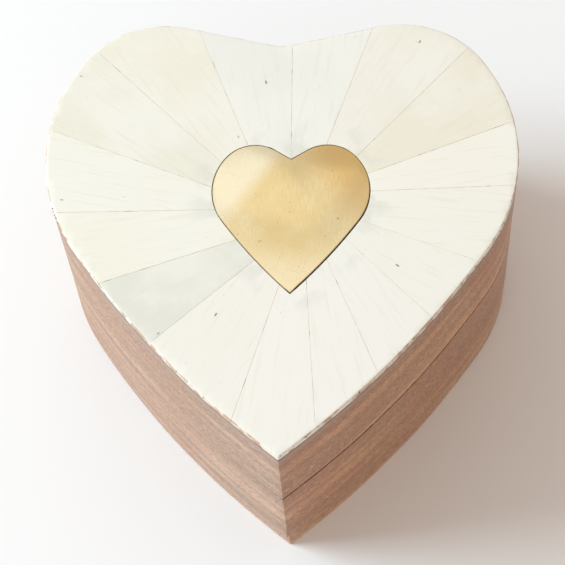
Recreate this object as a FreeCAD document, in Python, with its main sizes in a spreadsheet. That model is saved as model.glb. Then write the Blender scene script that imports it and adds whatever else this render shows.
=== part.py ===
import FreeCAD, Part
import math
import os
import re
from types import SimpleNamespace

# Heart-shaped wooden music box with a bone and brass inlaid lid.
# Frame: millimetres, +Z up, the heart's tip towards -Y, its cleft towards +Y.
# The origin is on the floor, in the middle of the whole box, hinge knuckles included.

Vector = FreeCAD.Vector
doc = FreeCAD.newDocument("heart_music_box")

# ------------------------------------------------------------------ driving dimensions
# alias, value in mm or degrees, what it is
DIMENSIONS = [
    ("board_height", 7.0, "bottom board"),
    ("floor_thickness", 3.0, "floor of the hollowed base"),
    ("parting_height", 31.9, "underside of the lid"),
    ("glue_height", 54.8, "top of the lid's wood, where the bone is glued"),
    ("bone_thickness", 1.8, "bone tiles and brass heart"),
    ("rim_gap", 0.1, "gap under the lid on the left"),
    ("right_rim_gap", 0.6, "wider gap under the lid on the right"),
    ("side_radius", 177.3, "outline from the tip up the side"),
    ("side_sweep", 18.6, "turn along the side arc"),
    ("flank_radius", 34.3, "outline round the widest part"),
    ("flank_sweep", 69.0, "turn along the flank arc"),
    ("lobe_radius", 19.7, "outline round the lobe"),
    ("lobe_sweep", 68.0, "turn along the lobe arc"),
    ("tip_heading", 37.4, "side's direction at the tip, from X"),
    ("cleft_length", 84.1, "tip to the bottom of the cleft"),
    ("cleft_radius", 9.0, "soft inside corner of the cleft"),
    ("board_inset", 0.4, "bottom board is this much smaller all round"),
    ("board_shift", 0.4, "bottom board sits this far to the right"),
    ("wall", 8.0, "wall of the base"),
    ("rebate_wall", 5.0, "wall beside the cover's rebate"),
    ("cover_top", 31.0, "top of the clear cover"),
    ("cover_thickness", 2.0, "clear cover"),
    ("cover_gap", 0.3, "gap round the clear cover"),
    ("lid_wall", 10.5, "wall of the lid"),
    ("lid_hollow", 18.0, "depth of the hollow in the lid"),
    ("felt", 1.0, "felt lining"),
    ("brass_x", 1.9, "brass heart's tip, sideways"),
    ("brass_tip", 32.0, "brass heart's tip, from the box's tip"),
    ("brass_heading", 43.2, "brass heart's side at its tip, from X"),
    ("brass_side", 100.0, "brass heart's side arc"),
    ("brass_side_sweep", 11.4, "turn along it"),
    ("brass_flank", 10.8, "brass heart's flank arc"),
    ("brass_flank_sweep", 77.8, "turn along it"),
    ("brass_lobe", 7.25, "brass heart's lobe arc"),
    ("brass_lobe_sweep", 80.0, "turn along it"),
    ("brass_cleft", 27.9, "brass heart's tip to its cleft"),
    ("hinge_spread", 22.8, "each hinge from the middle"),
    ("hinge_length", 12.0, "hinge along its pin"),
    ("hinge_set_back", 1.1, "pin's axis behind the lobes"),
    ("knuckle_radius", 1.5, "hinge knuckle"),
    ("hinge_pin_radius", 0.6, "hinge pin"),
    ("leaf_depth", 5.0, "leaf in front of the pin's axis"),
    ("leaf_thickness", 0.8, "leaf"),
    ("leaf_screw_spread", 3.9, "leaf screws from the hinge's middle"),
    ("move_front", 55.0, "middle of the movement, from the box's tip"),
    ("plate_length", 49.0, "bedplate along X"),
    ("plate_width", 40.4, "bedplate along Y"),
    ("plate_thickness", 2.2, "bedplate"),
    ("axis_side", 6.0, "cylinder's axis behind the movement's middle"),
    ("axis_height", 10.8, "cylinder's axis above the base's floor"),
    ("drum_place", -13.0, "spring drum and key, sideways"),
    ("drum_radius", 10.4, "spring drum"),
    ("arbor_radius", 1.5, "winding arbor"),
    ("key_recess_radius", 20.0, "hole in the bottom board for the key"),
    ("key_span", 20.0, "key across its wings"),
    ("cylinder_radius", 6.0, "pinned cylinder, without its pins"),
    ("pin_height", 0.7, "pins stand this far out"),
    ("pinion_teeth", 8, "cylinder's pinion"),
    ("crown_teeth", 30, "great wheel"),
    ("crown_module", 0.6, "great wheel and pinion"),
    ("gear_teeth", 36, "cylinder's gear"),
    ("train_module", 0.42, "cylinder's gear and governor pinion"),
    ("train_teeth", 9, "governor pinion"),
    ("train_drop", 35.0, "governor arbor below the cylinder's axis, degrees"),
    ("worm_teeth", 13, "governor wheel"),
    ("worm_lead", 1.0, "worm's pitch"),
    ("worm_radius", 0.9, "worm's pitch radius"),
    ("worm_place", 16.5, "worm and governor wheel, sideways"),
    ("fly_radius", 2.5, "fly's blades"),
    ("comb_teeth", 18, "notes"),
    ("comb_length", 19.0, "comb along the cylinder"),
    ("comb_thickness", 0.9, "comb"),
    ("plunger_inset", 9.6, "stop plunger inside the box's outline"),
    ("plunger_bearing", 100.0, "stop plunger's direction from the lobe's centre"),
    ("plunger_radius", 0.9, "stop plunger"),
]
size = SimpleNamespace(**{alias: value for alias, value, note in DIMENSIONS})

sheet = doc.addObject("Spreadsheet::Sheet", "Dim")


def write_row(row, alias, value, note):
    sheet.set(f"A{row}", note)
    sheet.set(f"B{row}", str(value))
    sheet.setAlias(f"B{row}", alias)
    setattr(size, alias, value)


for row, (alias, value, note) in enumerate(DIMENSIONS, start=1):
    write_row(row, alias, value, note)


def formula(text):
    # "wall + 2" becomes "Dim.wall + 2"
    known = vars(size)
    return re.sub(r"[a-z_]+", lambda m: "Dim." + m[0] if m[0] in known else m[0], str(text))


# ------------------------------------------------------------------ outlines
def polar(radius, degrees, centre=(0.0, 0.0)):
    angle = math.radians(degrees)
    return centre[0] + radius * math.cos(angle), centre[1] + radius * math.sin(angle)


def arc_edge(start, middle, end):
    return Part.Arc(Vector(*start, 0), Vector(*middle, 0), Vector(*end, 0)).toShape()


def line_edge(start, end):
    return Part.makeLine(Vector(*start, 0), Vector(*end, 0))


def heart_wire(heading, arcs, cleft, cleft_radius=0.0):
    # The right half runs from the tip at (0, 0) through tangent arcs, then straight to the cleft.
    here = (0.0, 0.0)
    right = []
    for radius, sweep in arcs:
        centre = polar(radius, heading + 90, here)
        stops = [polar(radius, heading + turn - 90, centre) for turn in (0, sweep / 2, sweep)]
        right.append(stops)
        here = stops[2]
        heading += sweep
    slope = math.atan2(here[1] - cleft, here[0])
    corner = (0.0, cleft)
    closing = []
    if cleft_radius:
        centre = (0.0, cleft + cleft_radius / math.cos(slope))
        side = math.degrees(slope)
        corner = polar(cleft_radius, side - 90, centre)
        closing = [arc_edge(corner, polar(cleft_radius, -90, centre), (-corner[0], corner[1]))]
    edges = [arc_edge(*stops) for stops in right]
    edges.append(line_edge(here, corner))
    edges += closing
    edges.append(line_edge((-corner[0], corner[1]), (-here[0], here[1])))
    for start, middle, end in reversed(right):
        edges.append(arc_edge((-end[0], end[1]), (-middle[0], middle[1]), (-start[0], start[1])))
    return Part.Wire(edges)


outline_arcs = [
    (size.side_radius, size.side_sweep),
    (size.flank_radius, size.flank_sweep),
    (size.lobe_radius, size.lobe_sweep),
]


def heart_at_tip():
    return heart_wire(size.tip_heading, outline_arcs, size.cleft_length, size.cleft_radius)


def last_centre(heading, arcs):
    # centre of the last arc up the right side, which rounds the lobe
    here = (0.0, 0.0)
    for radius, sweep in arcs:
        centre = polar(radius, heading + 90, here)
        heading += sweep
        here = polar(radius, heading - 90, centre)
    return centre


def moved(shape, x, y, z=0.0):
    copy = shape.copy()
    copy.translate(Vector(x, y, z))
    return copy


# Places that follow from the outline go into the sheet too.
lobes_back = heart_at_tip().BoundBox.YMax
tip_place = -(lobes_back + size.hinge_set_back + size.knuckle_radius) / 2
lobe_centre = last_centre(size.tip_heading, outline_arcs)
plunger_reach = size.lobe_radius - size.plunger_inset
plunger_spot = polar(plunger_reach, size.plunger_bearing, lobe_centre)
train_reach = size.train_module * (size.gear_teeth + size.train_teeth) / 2
wheel_radius = size.worm_teeth * size.worm_lead / (2 * math.pi)
DERIVED = [
    ("tip_place", tip_place, "tip of the heart"),
    ("hinge_axis", tip_place + lobes_back + size.hinge_set_back, "hinge pins, Y"),
    ("hinge_height", size.parting_height - size.rim_gap / 2, "hinge pins, Z"),
    ("move_place", tip_place + size.move_front, "middle of the movement, Y"),
    ("move_floor", size.board_height + size.floor_thickness, "underside of the bedplate"),
    ("cylinder_place", tip_place + size.move_front + size.axis_side, "cylinder's axis, Y"),
    ("cylinder_height", size.board_height + size.floor_thickness + size.axis_height, "its Z"),
    ("train_side", train_reach * math.cos(math.radians(size.train_drop)), "governor arbor, Y"),
    ("train_fall", train_reach * math.sin(math.radians(size.train_drop)), "governor arbor, Z"),
    ("worm_side", wheel_radius + size.worm_radius, "worm behind the governor arbor"),
    ("plunger_place", plunger_spot[0], "stop plunger, X"),
    ("plunger_depth", tip_place + plunger_spot[1], "stop plunger, Y"),
]
for row, (alias, value, note) in enumerate(DERIVED, start=len(DIMENSIONS) + 1):
    write_row(row, alias, round(value, 4), note)
doc.recompute()

outline = moved(heart_at_tip(), 0, size.tip_place)


def inset(distance):
    return outline.makeOffset2D(-distance, 0, False, False, True) if distance else outline


def brass_wire():
    arcs = [
        (size.brass_side, size.brass_side_sweep),
        (size.brass_flank, size.brass_flank_sweep),
        (size.brass_lobe, size.brass_lobe_sweep),
    ]
    wire = heart_wire(size.brass_heading, arcs, size.brass_cleft)
    return moved(wire, size.brass_x, size.tip_place + size.brass_tip)


# ------------------------------------------------------------------ building helpers
nodes = []


def keep(item, label):
    item.Label = label
    nodes.append(item)
    return item


def curves_of(wire):
    curves = []
    for edge in wire.OrderedEdges:
        first, last = edge.FirstParameter, edge.LastParameter
        start, end = edge.valueAt(first), edge.valueAt(last)
        if isinstance(edge.Curve, Part.Line):
            curves.append(Part.LineSegment(start, end))
        elif abs(last - first) > 2 * math.pi - 1e-6:
            curves.append(Part.Circle(edge.Curve.Center, Vector(0, 0, 1), edge.Curve.Radius))
        else:
            curves.append(Part.Arc(start, edge.valueAt((first + last) / 2), end))
    return curves


def add_sketch(body, name, wires, base):
    sketch = body.newObject("Sketcher::SketchObject", name)
    plane = [item for item in body.Origin.OriginFeatures if item.Role == "XY_Plane"][0]
    sketch.AttachmentSupport = [(plane, "")]
    sketch.MapMode = "FlatFace"
    sketch.setExpression("AttachmentOffset.Base.z", formula(base))
    sketch.addGeometry([curve for wire in wires for curve in curves_of(wire)], False)
    return sketch


def padded_body(name, wires, base, height):
    body = doc.addObject("PartDesign::Body", name)
    pad = body.newObject("PartDesign::Pad", name + "_pad")
    pad.Profile = add_sketch(body, name + "_outline", wires, base)
    pad.setExpression("Length", formula(height))
    doc.recompute()
    return body


def pocket(body, name, wires, base, depth):
    # cuts upwards from the base plane
    before = body.Shape.Volume
    cut = body.newObject("PartDesign::Pocket", name)
    cut.Profile = add_sketch(body, name + "_outline", wires, base)
    cut.setExpression("Length", formula(depth))
    cut.Reversed = True
    doc.recompute()
    if body.Shape.Volume > before - 1e-6:
        raise RuntimeError(name + " cut nothing")


def put(item, place, turn=((0, 0, 1), 0)):
    item.Placement = FreeCAD.Placement(Vector(0, 0, 0), FreeCAD.Rotation(Vector(*turn[0]), turn[1]))
    for axis, text in zip("xyz", place):
        item.setExpression("Placement.Base." + axis, formula(text))
    return item


def box(name, sizes, corner):
    item = doc.addObject("Part::Box", name)
    for side, text in zip(("Length", "Width", "Height"), sizes):
        item.setExpression(side, formula(text))
    return put(item, corner)


ALONG = {"x": ((0, 1, 0), 90), "y": ((1, 0, 0), -90), "z": ((0, 0, 1), 0), "down": ((1, 0, 0), 180)}


def rod(name, radius, length, start, along="z"):
    item = doc.addObject("Part::Cylinder", name)
    item.setExpression("Radius", formula(radius))
    item.setExpression("Height", formula(length))
    return put(item, start, ALONG[along])


def cone(name, low, high, length, start, along="z"):
    item = doc.addObject("Part::Cone", name)
    item.setExpression("Radius1", formula(low))
    item.setExpression("Radius2", formula(high))
    item.setExpression("Height", formula(length))
    return put(item, start, ALONG[along])


def fuse(name, *items):
    joined = doc.addObject("Part::MultiFuse", name)
    joined.Shapes = list(items)
    return joined


def cut(name, base, *tools):
    result = doc.addObject("Part::Cut", name)
    result.Base = base
    result.Tool = tools[0] if len(tools) == 1 else fuse(name + "_tools", *tools)
    return result


def formed(name, shape):
    # a shape that Part's own functions make, from sizes read from the sheet
    item = doc.addObject("Part::Feature", name)
    item.Shape = shape
    return item


def repeated(name, pattern, places, along="z"):
    # one piece, linked to each place, kept together as a group of separate solids
    links = []
    for index, place in enumerate(places):
        link = doc.addObject("App::Link", f"{name}_{index}")
        link.LinkedObject = pattern
        links.append(put(link, place, ALONG[along]))
    group = doc.addObject("Part::Compound", name)
    group.Links = links
    return group


def screw(name, shank, length, head, head_height, sunk=False):
    # the head's top face lies at the origin, the shank points down
    shaft = rod(name + "_shank", shank, f"{length}", ("0", "0", f"-{length}"))
    if sunk:
        cap = cone(name + "_head", shank, head, head_height, ("0", "0", f"-{head_height}"))
    else:
        cap = rod(name + "_head", head, head_height, ("0", "0", f"-{head_height}"))
    slot_width = head / 3.5
    slot_depth = head_height * 0.45
    slot = box(name + "_slot", (3 * head, slot_width, slot_depth + 1),
               (f"-{1.5 * head}", f"-{slot_width / 2}", f"-{slot_depth}"))
    return cut(name, fuse(name + "_blank", cap, shaft), slot)


def fasten(label, pattern, places, along="z"):
    # the screws themselves, and the same outlines as holes to cut
    screws = keep(repeated(label, pattern, places, along), label)
    holes = repeated(label + "_holes", pattern.Base, places, along)
    return screws, holes


def at(across, back, up):
    # a place on the movement
    return f"{across}", f"move_place + {back}", f"move_floor + {up}"


# ------------------------------------------------------------------ case
LOBE_SIDE = {"left": "-hinge_spread", "right": "hinge_spread"}


def knuckle_clearance(name, half_length, radius):
    # a rod along both hinge axes, cut out of whatever stands beside the knuckles
    rods = []
    for side, middle in LOBE_SIDE.items():
        start = (f"{middle} - ({half_length})", "hinge_axis", "hinge_height")
        rods.append(rod(f"{name}_{side}", radius, f"2 * ({half_length})", start, "x"))
    return fuse(name, *rods)


def leaf_mortises(name, bottom):
    # shallow seats for both leaves
    seats = []
    for side, middle in LOBE_SIDE.items():
        corner = (f"{middle} - hinge_length / 2", "hinge_axis - leaf_depth", bottom)
        seats.append(box(f"{name}_{side}", ("hinge_length", "leaf_depth + 5", "leaf_thickness + 0.6"), corner))
    return fuse(name, *seats)


def leaf_screw_places(height):
    return [
        (f"{middle} {sign} leaf_screw_spread", "hinge_axis - 3.3", height)
        for middle in LOBE_SIDE.values()
        for sign in "-+"
    ]


leaf_screw = screw("leaf_screw", 0.55, 5.0, 1.05, 0.5, sunk=True)
base_leaf_screws, base_leaf_holes = fasten(
    "base_leaf_screws", leaf_screw, leaf_screw_places("hinge_height - 0.05"))
lid_leaf_screws, lid_leaf_holes = fasten(
    "lid_leaf_screws", leaf_screw, leaf_screw_places("hinge_height + 0.05"), "down")

# bottom board, with the key's recess and three screws into the walls
board_wire = moved(inset(size.board_inset), size.board_shift, 0)
board_blank = padded_body("board_blank", [board_wire], 0, "board_height")
board_screw = screw("board_screw", 1.2, 13.0, 2.4, 1.4, sunk=True)
board_screws, board_holes = fasten(
    "board_screws", board_screw,
    [("0", "tip_place + 5.4", "0.3"), ("38", "tip_place + 74.8", "0.3"), ("-38", "tip_place + 74.8", "0.3")],
    "down")
board_mouths = repeated("board_mouths", rod("board_mouth", 2.4, 1, ("0", "0", "-0.7")),
                        [("0", "tip_place + 5.4", "0"), ("38", "tip_place + 74.8", "0"),
                         ("-38", "tip_place + 74.8", "0")])
key_recess = rod("key_recess", "key_recess_radius", "board_height + 2", ("drum_place", "cylinder_place", "-1"))
keep(cut("bottom_board", board_blank, key_recess, board_holes, board_mouths), "bottom_board")

# base, hollowed from above, with a rebate for the clear cover
base_block = padded_body("base_block", [outline], "board_height", "parting_height - rim_gap - board_height")
pocket(base_block, "base_hollow", [inset(size.wall)], "move_floor", "parting_height - move_floor")
pocket(base_block, "cover_rebate", [inset(size.rebate_wall)], "cover_top - cover_thickness",
       "parting_height - cover_top + cover_thickness")
right_plane = box("right_plane", ("60", "120", "2"), ("0", "-60", "parting_height - right_rim_gap"))
arbor_hole = rod("arbor_hole", "arbor_radius + 3", "floor_thickness + 2",
                 ("drum_place", "cylinder_place", "board_height - 1"))
move_screw = screw("move_screw", 1.1, 4.9, 2.1, 1.3)
move_screw_places = [at(-21.2, -16.5, -1.5), at(21.8, -12.5, -1.5), at(-20.5, 17.0, -1.5)]
move_screws, move_holes = fasten("movement_screws", move_screw, move_screw_places, "down")
move_counterbores = repeated("move_counterbores", rod("move_counterbore", 2.4, 3, ("0", "0", "-1.3")),
                             move_screw_places, "down")
cover_screw = screw("cover_screw", 0.6, 6.0, 1.2, 0.7, sunk=True)
cover_screw_places = [
    ("0", "tip_place + 8.3", "cover_top"),
    ("35.9", "tip_place + 70.5", "cover_top"),
    ("-35.9", "tip_place + 70.5", "cover_top"),
]
cover_screws, cover_holes = fasten("cover_screws", cover_screw, cover_screw_places)
bracket_screw = screw("stop_bracket_screw_pattern", 0.6, 2.8, 1.1, 0.7)
bracket_screw_place = [at(20.6, 21.9, 1.5)]
stop_bracket_screw, stop_bracket_hole = fasten("stop_bracket_screw", bracket_screw, bracket_screw_place)
keep(cut("base_body", base_block, right_plane, arbor_hole, move_holes, move_counterbores, cover_holes,
         board_holes, base_leaf_holes, stop_bracket_hole,
         leaf_mortises("base_mortise", "hinge_height - 0.05 - leaf_thickness"),
         knuckle_clearance("base_knuckle_room", "hinge_length / 2 + 0.3", "knuckle_radius + 0.3")),
     "base_body")

cover_wire = inset(size.rebate_wall + size.cover_gap)
cover_plate = padded_body("cover_plate", [cover_wire], "cover_top - cover_thickness", "cover_thickness")
plunger_hole = rod("plunger_hole", "plunger_radius + 0.35", "cover_thickness + 2",
                   ("plunger_place", "plunger_depth", "cover_top - cover_thickness - 1"))
keep(cut("movement_cover", cover_plate, plunger_hole, cover_holes), "movement_cover")

# lid, hollowed from below, and its felt lining
lid_block = padded_body("lid_block", [outline], "parting_height", "glue_height - parting_height")
pocket(lid_block, "lid_hollow_cut", [inset(size.lid_wall)], "parting_height - 0.001", "lid_hollow")
keep(cut("lid_body", lid_block, lid_leaf_holes,
         leaf_mortises("lid_mortise", "hinge_height + 0.05 - 0.6"),
         knuckle_clearance("lid_knuckle_room", "hinge_length / 2 + 0.3", "knuckle_radius + 0.3")),
     "lid_body")
lining = padded_body("lid_lining", [inset(size.lid_wall)], "parting_height + 1.5", "lid_hollow - 1.501")
pocket(lining, "lining_hollow", [inset(size.lid_wall + size.felt)], "parting_height + 1", "lid_hollow - 1 - felt")
keep(lining, "lid_lining")

# bone tiles: sixteen wedges round the brass heart, each seam cut by eye
SEAMS = [  # direction of each seam where it leaves the brass heart, and where it meets the rim
    (90, 90), (66, 69), (47, 47), (38, 27), (27, 10.5), (0, -14), (-24, -38), (-53, -62.5),
    (-76.5, -83), (-98.5, -104.5), (-131.5, -136.5), (-159.5, -160.5), (-190.5, -183),
    (-206, -203), (-222, -223.5), (-240, -245.5),
]


def seam_points(turn_in, turn_out, centre):
    # the seam's line, run inwards under the brass heart and outwards past the rim
    near = polar(13.0, turn_in, centre)
    far = polar(38.0, turn_out, centre)
    along = (far[0] - near[0], far[1] - near[1])
    return [(near[0] + along[0] * part, near[1] + along[1] * part) for part in (-0.15, 2.2)]


def tile_wire(first, second):
    start_in, start_out = first
    end_in, end_out = second
    wedge = Part.Face(Part.makePolygon([Vector(*point, 0) for point in
                                        (start_in, start_out, end_out, end_in, start_in)]))
    return bone_sheet.common(wedge).Faces[0].OuterWire


brass_middle = (size.brass_x, size.tip_place + 47.0)
bone_sheet = Part.Face(outline).cut(Part.Face(brass_wire()))
seams = [seam_points(turn_in, turn_out, brass_middle) for turn_in, turn_out in SEAMS]
for number, first in enumerate(seams):
    second = seams[(number + 1) % len(seams)]
    label = f"bone_tile_{number + 1:02d}"
    keep(padded_body(label, [tile_wire(first, second)], "glue_height", "bone_thickness"), label)
keep(padded_body("brass_heart", [brass_wire()], "glue_height", "bone_thickness"), "brass_heart")

# hinges: the base carries two knuckles and the pin, the lid carries the middle knuckle
for side, middle in LOBE_SIDE.items():
    leaf_size = ("hinge_length", "leaf_depth", "leaf_thickness")
    corner_x = f"{middle} - hinge_length / 2"
    axis = ("hinge_axis", "hinge_height")
    pin_bore = rod(f"{side}_pin_bore", "hinge_pin_radius", "hinge_length + 2", (f"{corner_x} - 1", *axis), "x")
    run_bore = rod(f"{side}_run_bore", "hinge_pin_radius + 0.04", "hinge_length + 2",
                   (f"{corner_x} - 1", *axis), "x")
    base_plate = box(f"{side}_base_plate", leaf_size,
                     (corner_x, "hinge_axis - leaf_depth", "hinge_height - 0.05 - leaf_thickness"))
    lid_plate = box(f"{side}_lid_plate", leaf_size,
                    (corner_x, "hinge_axis - leaf_depth", "hinge_height + 0.05"))
    middle_room = rod(f"{side}_middle_room", "knuckle_radius + 0.2", "hinge_length / 3 + 0.2",
                      (f"{middle} - hinge_length / 6 - 0.1", *axis), "x")
    near_room = rod(f"{side}_near_room", "knuckle_radius + 0.2", "hinge_length / 3 + 0.1",
                    (corner_x, *axis), "x")
    far_room = rod(f"{side}_far_room", "knuckle_radius + 0.2", "hinge_length / 3 + 0.1",
                   (f"{middle} + hinge_length / 6 - 0.1", *axis), "x")
    near_knuckle = rod(f"{side}_near_knuckle", "knuckle_radius", "hinge_length / 3 - 0.1", (corner_x, *axis), "x")
    far_knuckle = rod(f"{side}_far_knuckle", "knuckle_radius", "hinge_length / 3 - 0.1",
                      (f"{middle} + hinge_length / 6 + 0.1", *axis), "x")
    lid_knuckle = rod(f"{side}_lid_knuckle", "knuckle_radius", "hinge_length / 3 - 0.2",
                      (f"{middle} - hinge_length / 6 + 0.1", *axis), "x")
    base_leaf = fuse(f"{side}_base_leaf_blank", cut(f"{side}_base_leaf_plate", base_plate, middle_room),
                     near_knuckle, far_knuckle)
    lid_leaf = fuse(f"{side}_lid_leaf_blank", cut(f"{side}_lid_leaf_plate", lid_plate, near_room, far_room),
                    lid_knuckle)
    keep(cut(f"{side}_hinge_base_leaf", base_leaf, pin_bore, base_leaf_holes), f"{side}_hinge_base_leaf")
    keep(cut(f"{side}_hinge_lid_leaf", lid_leaf, run_bore, lid_leaf_holes), f"{side}_hinge_lid_leaf")
    keep(rod(f"{side}_hinge_pin", "hinge_pin_radius", "hinge_length + 0.4", (f"{corner_x} - 0.2", *axis), "x"),
         f"{side}_hinge_pin")

# ------------------------------------------------------------------ movement: bedplate and brackets
comb_start = "0.6"
comb_top = "axis_height + comb_thickness / 2"
comb_screw = screw("comb_screw", 0.9, 6.5, 1.8, 1.1)
comb_screws, comb_holes = fasten(
    "comb_screws", comb_screw,
    [at(5.2, -16.9, f"{comb_top} + 1.1"), at(15.0, -16.9, f"{comb_top} + 1.1")])
small_screw = screw("small_screw", 0.55, 2.7, 1.0, 0.6)
small_screws, small_holes = fasten(
    "bracket_screws", small_screw,
    [at(-13, -7.6, 3.8), at(-13, 19.2, 3.8), at(0.3, -0.6, 3.8), at(0.3, 12.6, 3.8),
     at(15.2, 19.2, 3.8), at(20.6, 19.2, 3.8)])

plate = box("plate_blank", ("plate_length", "plate_width", "plate_thickness"),
            ("-plate_length / 2", "move_place - 20", "move_floor"))
round_corners = doc.addObject("Part::Fillet", "plate_round")
comb_stand = box("comb_stand", ("comb_length", "6.4", "axis_height - comb_thickness / 2 - plate_thickness"),
                 at(comb_start, -19.8, "plate_thickness"))
round_corners.Base = plate
doc.recompute()
upright = [index + 1 for index, edge in enumerate(plate.Shape.Edges)
           if edge.BoundBox.ZLength > size.plate_thickness - 0.01]
round_corners.Edges = [(index, 3.0, 3.0) for index in upright]
arbor_bore = rod("arbor_bore", "arbor_radius + 0.04", "plate_thickness + 2",
                 ("drum_place", "cylinder_place", "move_floor - 1"))
worm_pivot = rod("worm_pivot", 0.54, 1.6, at("worm_place", "axis_side + train_side + worm_side", 0.6))
keep(cut("bedplate", fuse("bedplate_blank", round_corners, comb_stand),
         arbor_bore, worm_pivot, comb_holes, small_holes, move_holes),
     "bedplate")

# bridge over the drum, holding the top of the winding arbor
bridge_top = box("bridge_top", (5, 24.4, 1), at("drum_place - 2.5", "axis_side - 12.2", 10.2))
bridge_legs = [box(f"bridge_leg_{name}", (5, 1.2, 9), at("drum_place - 2.5", back, 2.2))
               for name, back in (("front", "axis_side - 12.2"), ("rear", "axis_side + 11"))]
bridge_feet = [box(f"bridge_foot_{name}", (5, depth, 1), at("drum_place - 2.5", back, 2.2))
               for name, back, depth in (("front", "axis_side - 15.2", 3.5), ("rear", "axis_side + 11.5", 2.9))]
bridge_bore = rod("bridge_bore", 1.04, 3, at("drum_place", "axis_side", 9.4))
keep(cut("drum_bridge", fuse("bridge_blank", bridge_top, *bridge_legs, *bridge_feet), bridge_bore, small_holes),
     "drum_bridge")

# bearing at the cylinder's left end
bearing_wall = box("bearing_wall", (1.2, 8, "axis_height - 0.2"), at(-2.2, "axis_side - 4", 2.2))
bearing_foot = box("bearing_foot", (3.8, 16.4, 1), at(-2.2, "axis_side - 8.2", 2.2))
shaft_bore = rod("shaft_bore", 0.79, 40, at(-8, "axis_side", "axis_height"), "x")
keep(cut("cylinder_bearing", fuse("bearing_blank", bearing_wall, bearing_foot), shaft_bore, small_holes),
     "cylinder_bearing")

# governor frame: two cheeks, a foot and an arm over the fly
governor_blocks = [
    box("right_cheek", (1.4, 17.4, 10.6), at(22.2, 3, 2.2)),
    box("left_cheek", (1.2, 8, 5.8), at(12.2, 12.4, 2.2)),
    box("governor_post", (1.2, 3, 16.2), at(12.2, 17.4, 2.2)),
    box("governor_foot", (11.4, 2.2, 1), at(12.2, 18.2, 2.2)),
    box("governor_arm", (6, 5.4, 1), at(12.2, 15, 17.4)),
]
arbor_line = at(11, "axis_side + train_side", "axis_height - train_fall")
train_bore = rod("train_bore", 0.54, 14, arbor_line, "x")
fly_bore = rod("fly_bore", 0.54, 3, at("worm_place", "axis_side + train_side + worm_side", 16.8))
pin_sweep = rod("pin_sweep", "cylinder_radius + pin_height + 0.4", 21, at(0, "axis_side", "axis_height"), "x")
keep(cut("governor_frame", fuse("governor_blank", *governor_blocks), train_bore, fly_bore, pin_sweep,
         shaft_bore, small_holes), "governor_frame")

# ------------------------------------------------------------------ movement: spring drum and key
wind_x, wind_y = "drum_place", "cylinder_place"
arbor_rods = [
    rod("arbor_shank", "arbor_radius", 13.2, (wind_x, wind_y, "move_floor - 7")),
    rod("arbor_hub", "arbor_radius + 0.9", 3.3, at("drum_place", "axis_side", 3.4)),
    rod("arbor_top", 1.0, 5, at("drum_place", "axis_side", 6)),
]
keep(fuse("winding_arbor", *arbor_rods), "winding_arbor")

drum_cup = rod("drum_cup", "drum_radius", 4.3, at("drum_place", "axis_side", 2.5))
drum_space = rod("drum_space", "drum_radius - 0.7", 5, at("drum_place", "axis_side", 3.2))
drum_bore = rod("drum_bore", "arbor_radius + 0.06", 3, at("drum_place", "axis_side", 1.5))
keep(cut("spring_drum", drum_cup, drum_space, drum_bore), "spring_drum")


def prism(points, base, height):
    wire = Part.makePolygon([Vector(x, y, base) for x, y in points + points[:1]])
    return Part.Face(wire).extrude(Vector(0, 0, height))


def great_wheel():
    # the drum's lid, with teeth standing on its top face
    x, y = size.drum_place, size.cylinder_place
    base = size.move_floor + 6.8
    face = size.move_floor + size.axis_height - size.crown_module * size.pinion_teeth / 2 - 0.65
    disc = Part.makeCylinder(size.drum_radius, face - base, Vector(x, y, base))
    disc = disc.cut(Part.makeCylinder(1.06, 5, Vector(x, y, base - 1)))
    teeth = []
    for index in range(size.crown_teeth):
        tooth = Part.makePolygon([Vector(x + 7.9, y + side, face + up) for side, up in
                                  ((-0.42, -0.1), (-0.2, 1.1), (0.2, 1.1), (0.42, -0.1), (-0.42, -0.1))])
        tooth = Part.Face(tooth).extrude(Vector(2.2, 0, 0))
        tooth.rotate(Vector(x, y, 0), Vector(0, 0, 1), 360 * index / size.crown_teeth)
        teeth.append(tooth)
    return disc.multiFuse(teeth).removeSplitter()


keep(formed("great_wheel", great_wheel()), "great_wheel")


def mainspring():
    # a flat strip wound in half turns, each half a little wider than the last
    inner, turns, strip, strip_height = 2.75, 7, 0.3, 3.3
    step = (size.drum_radius - 1.5 - inner) / (2 * turns)
    tracks = []
    for offset in (0, strip):
        track = []
        middle = 0.0
        for half in range(2 * turns):
            radius = inner + offset + step * half
            side = 1 if half % 2 == 0 else -1
            track.append(arc_edge(*[polar(side * radius, turn, (middle, 0.0)) for turn in (0, 90, 180)]))
            middle += side * step
        tracks.append(track)
    inside, outside = tracks
    edges = inside + outside
    edges.append(Part.makeLine(inside[0].firstVertex().Point, outside[0].firstVertex().Point))
    edges.append(Part.makeLine(inside[-1].lastVertex().Point, outside[-1].lastVertex().Point))
    strip_face = Part.Face(Part.Wire(Part.__sortEdges__(edges)))
    spring = strip_face.extrude(Vector(0, 0, strip_height))
    return moved(spring, size.drum_place, size.cylinder_place, size.move_floor + 3.35)


keep(formed("mainspring", mainspring()), "mainspring")


def close_coil(radius, wire, turns, foot):
    # turns that touch are drawn as rings side by side, joined along their length
    x, y, z = foot
    rings = [Part.makeTorus(radius, wire, Vector(x, y, z + wire + 2 * wire * 0.96 * index))
             for index in range(turns)]
    return rings[0].multiFuse(rings[1:])


keep(formed("clutch_spring", close_coil(
    size.arbor_radius + 0.4, 0.34, 4,
    (size.drum_place, size.cylinder_place, size.move_floor - 2.72))), "clutch_spring")

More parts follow.
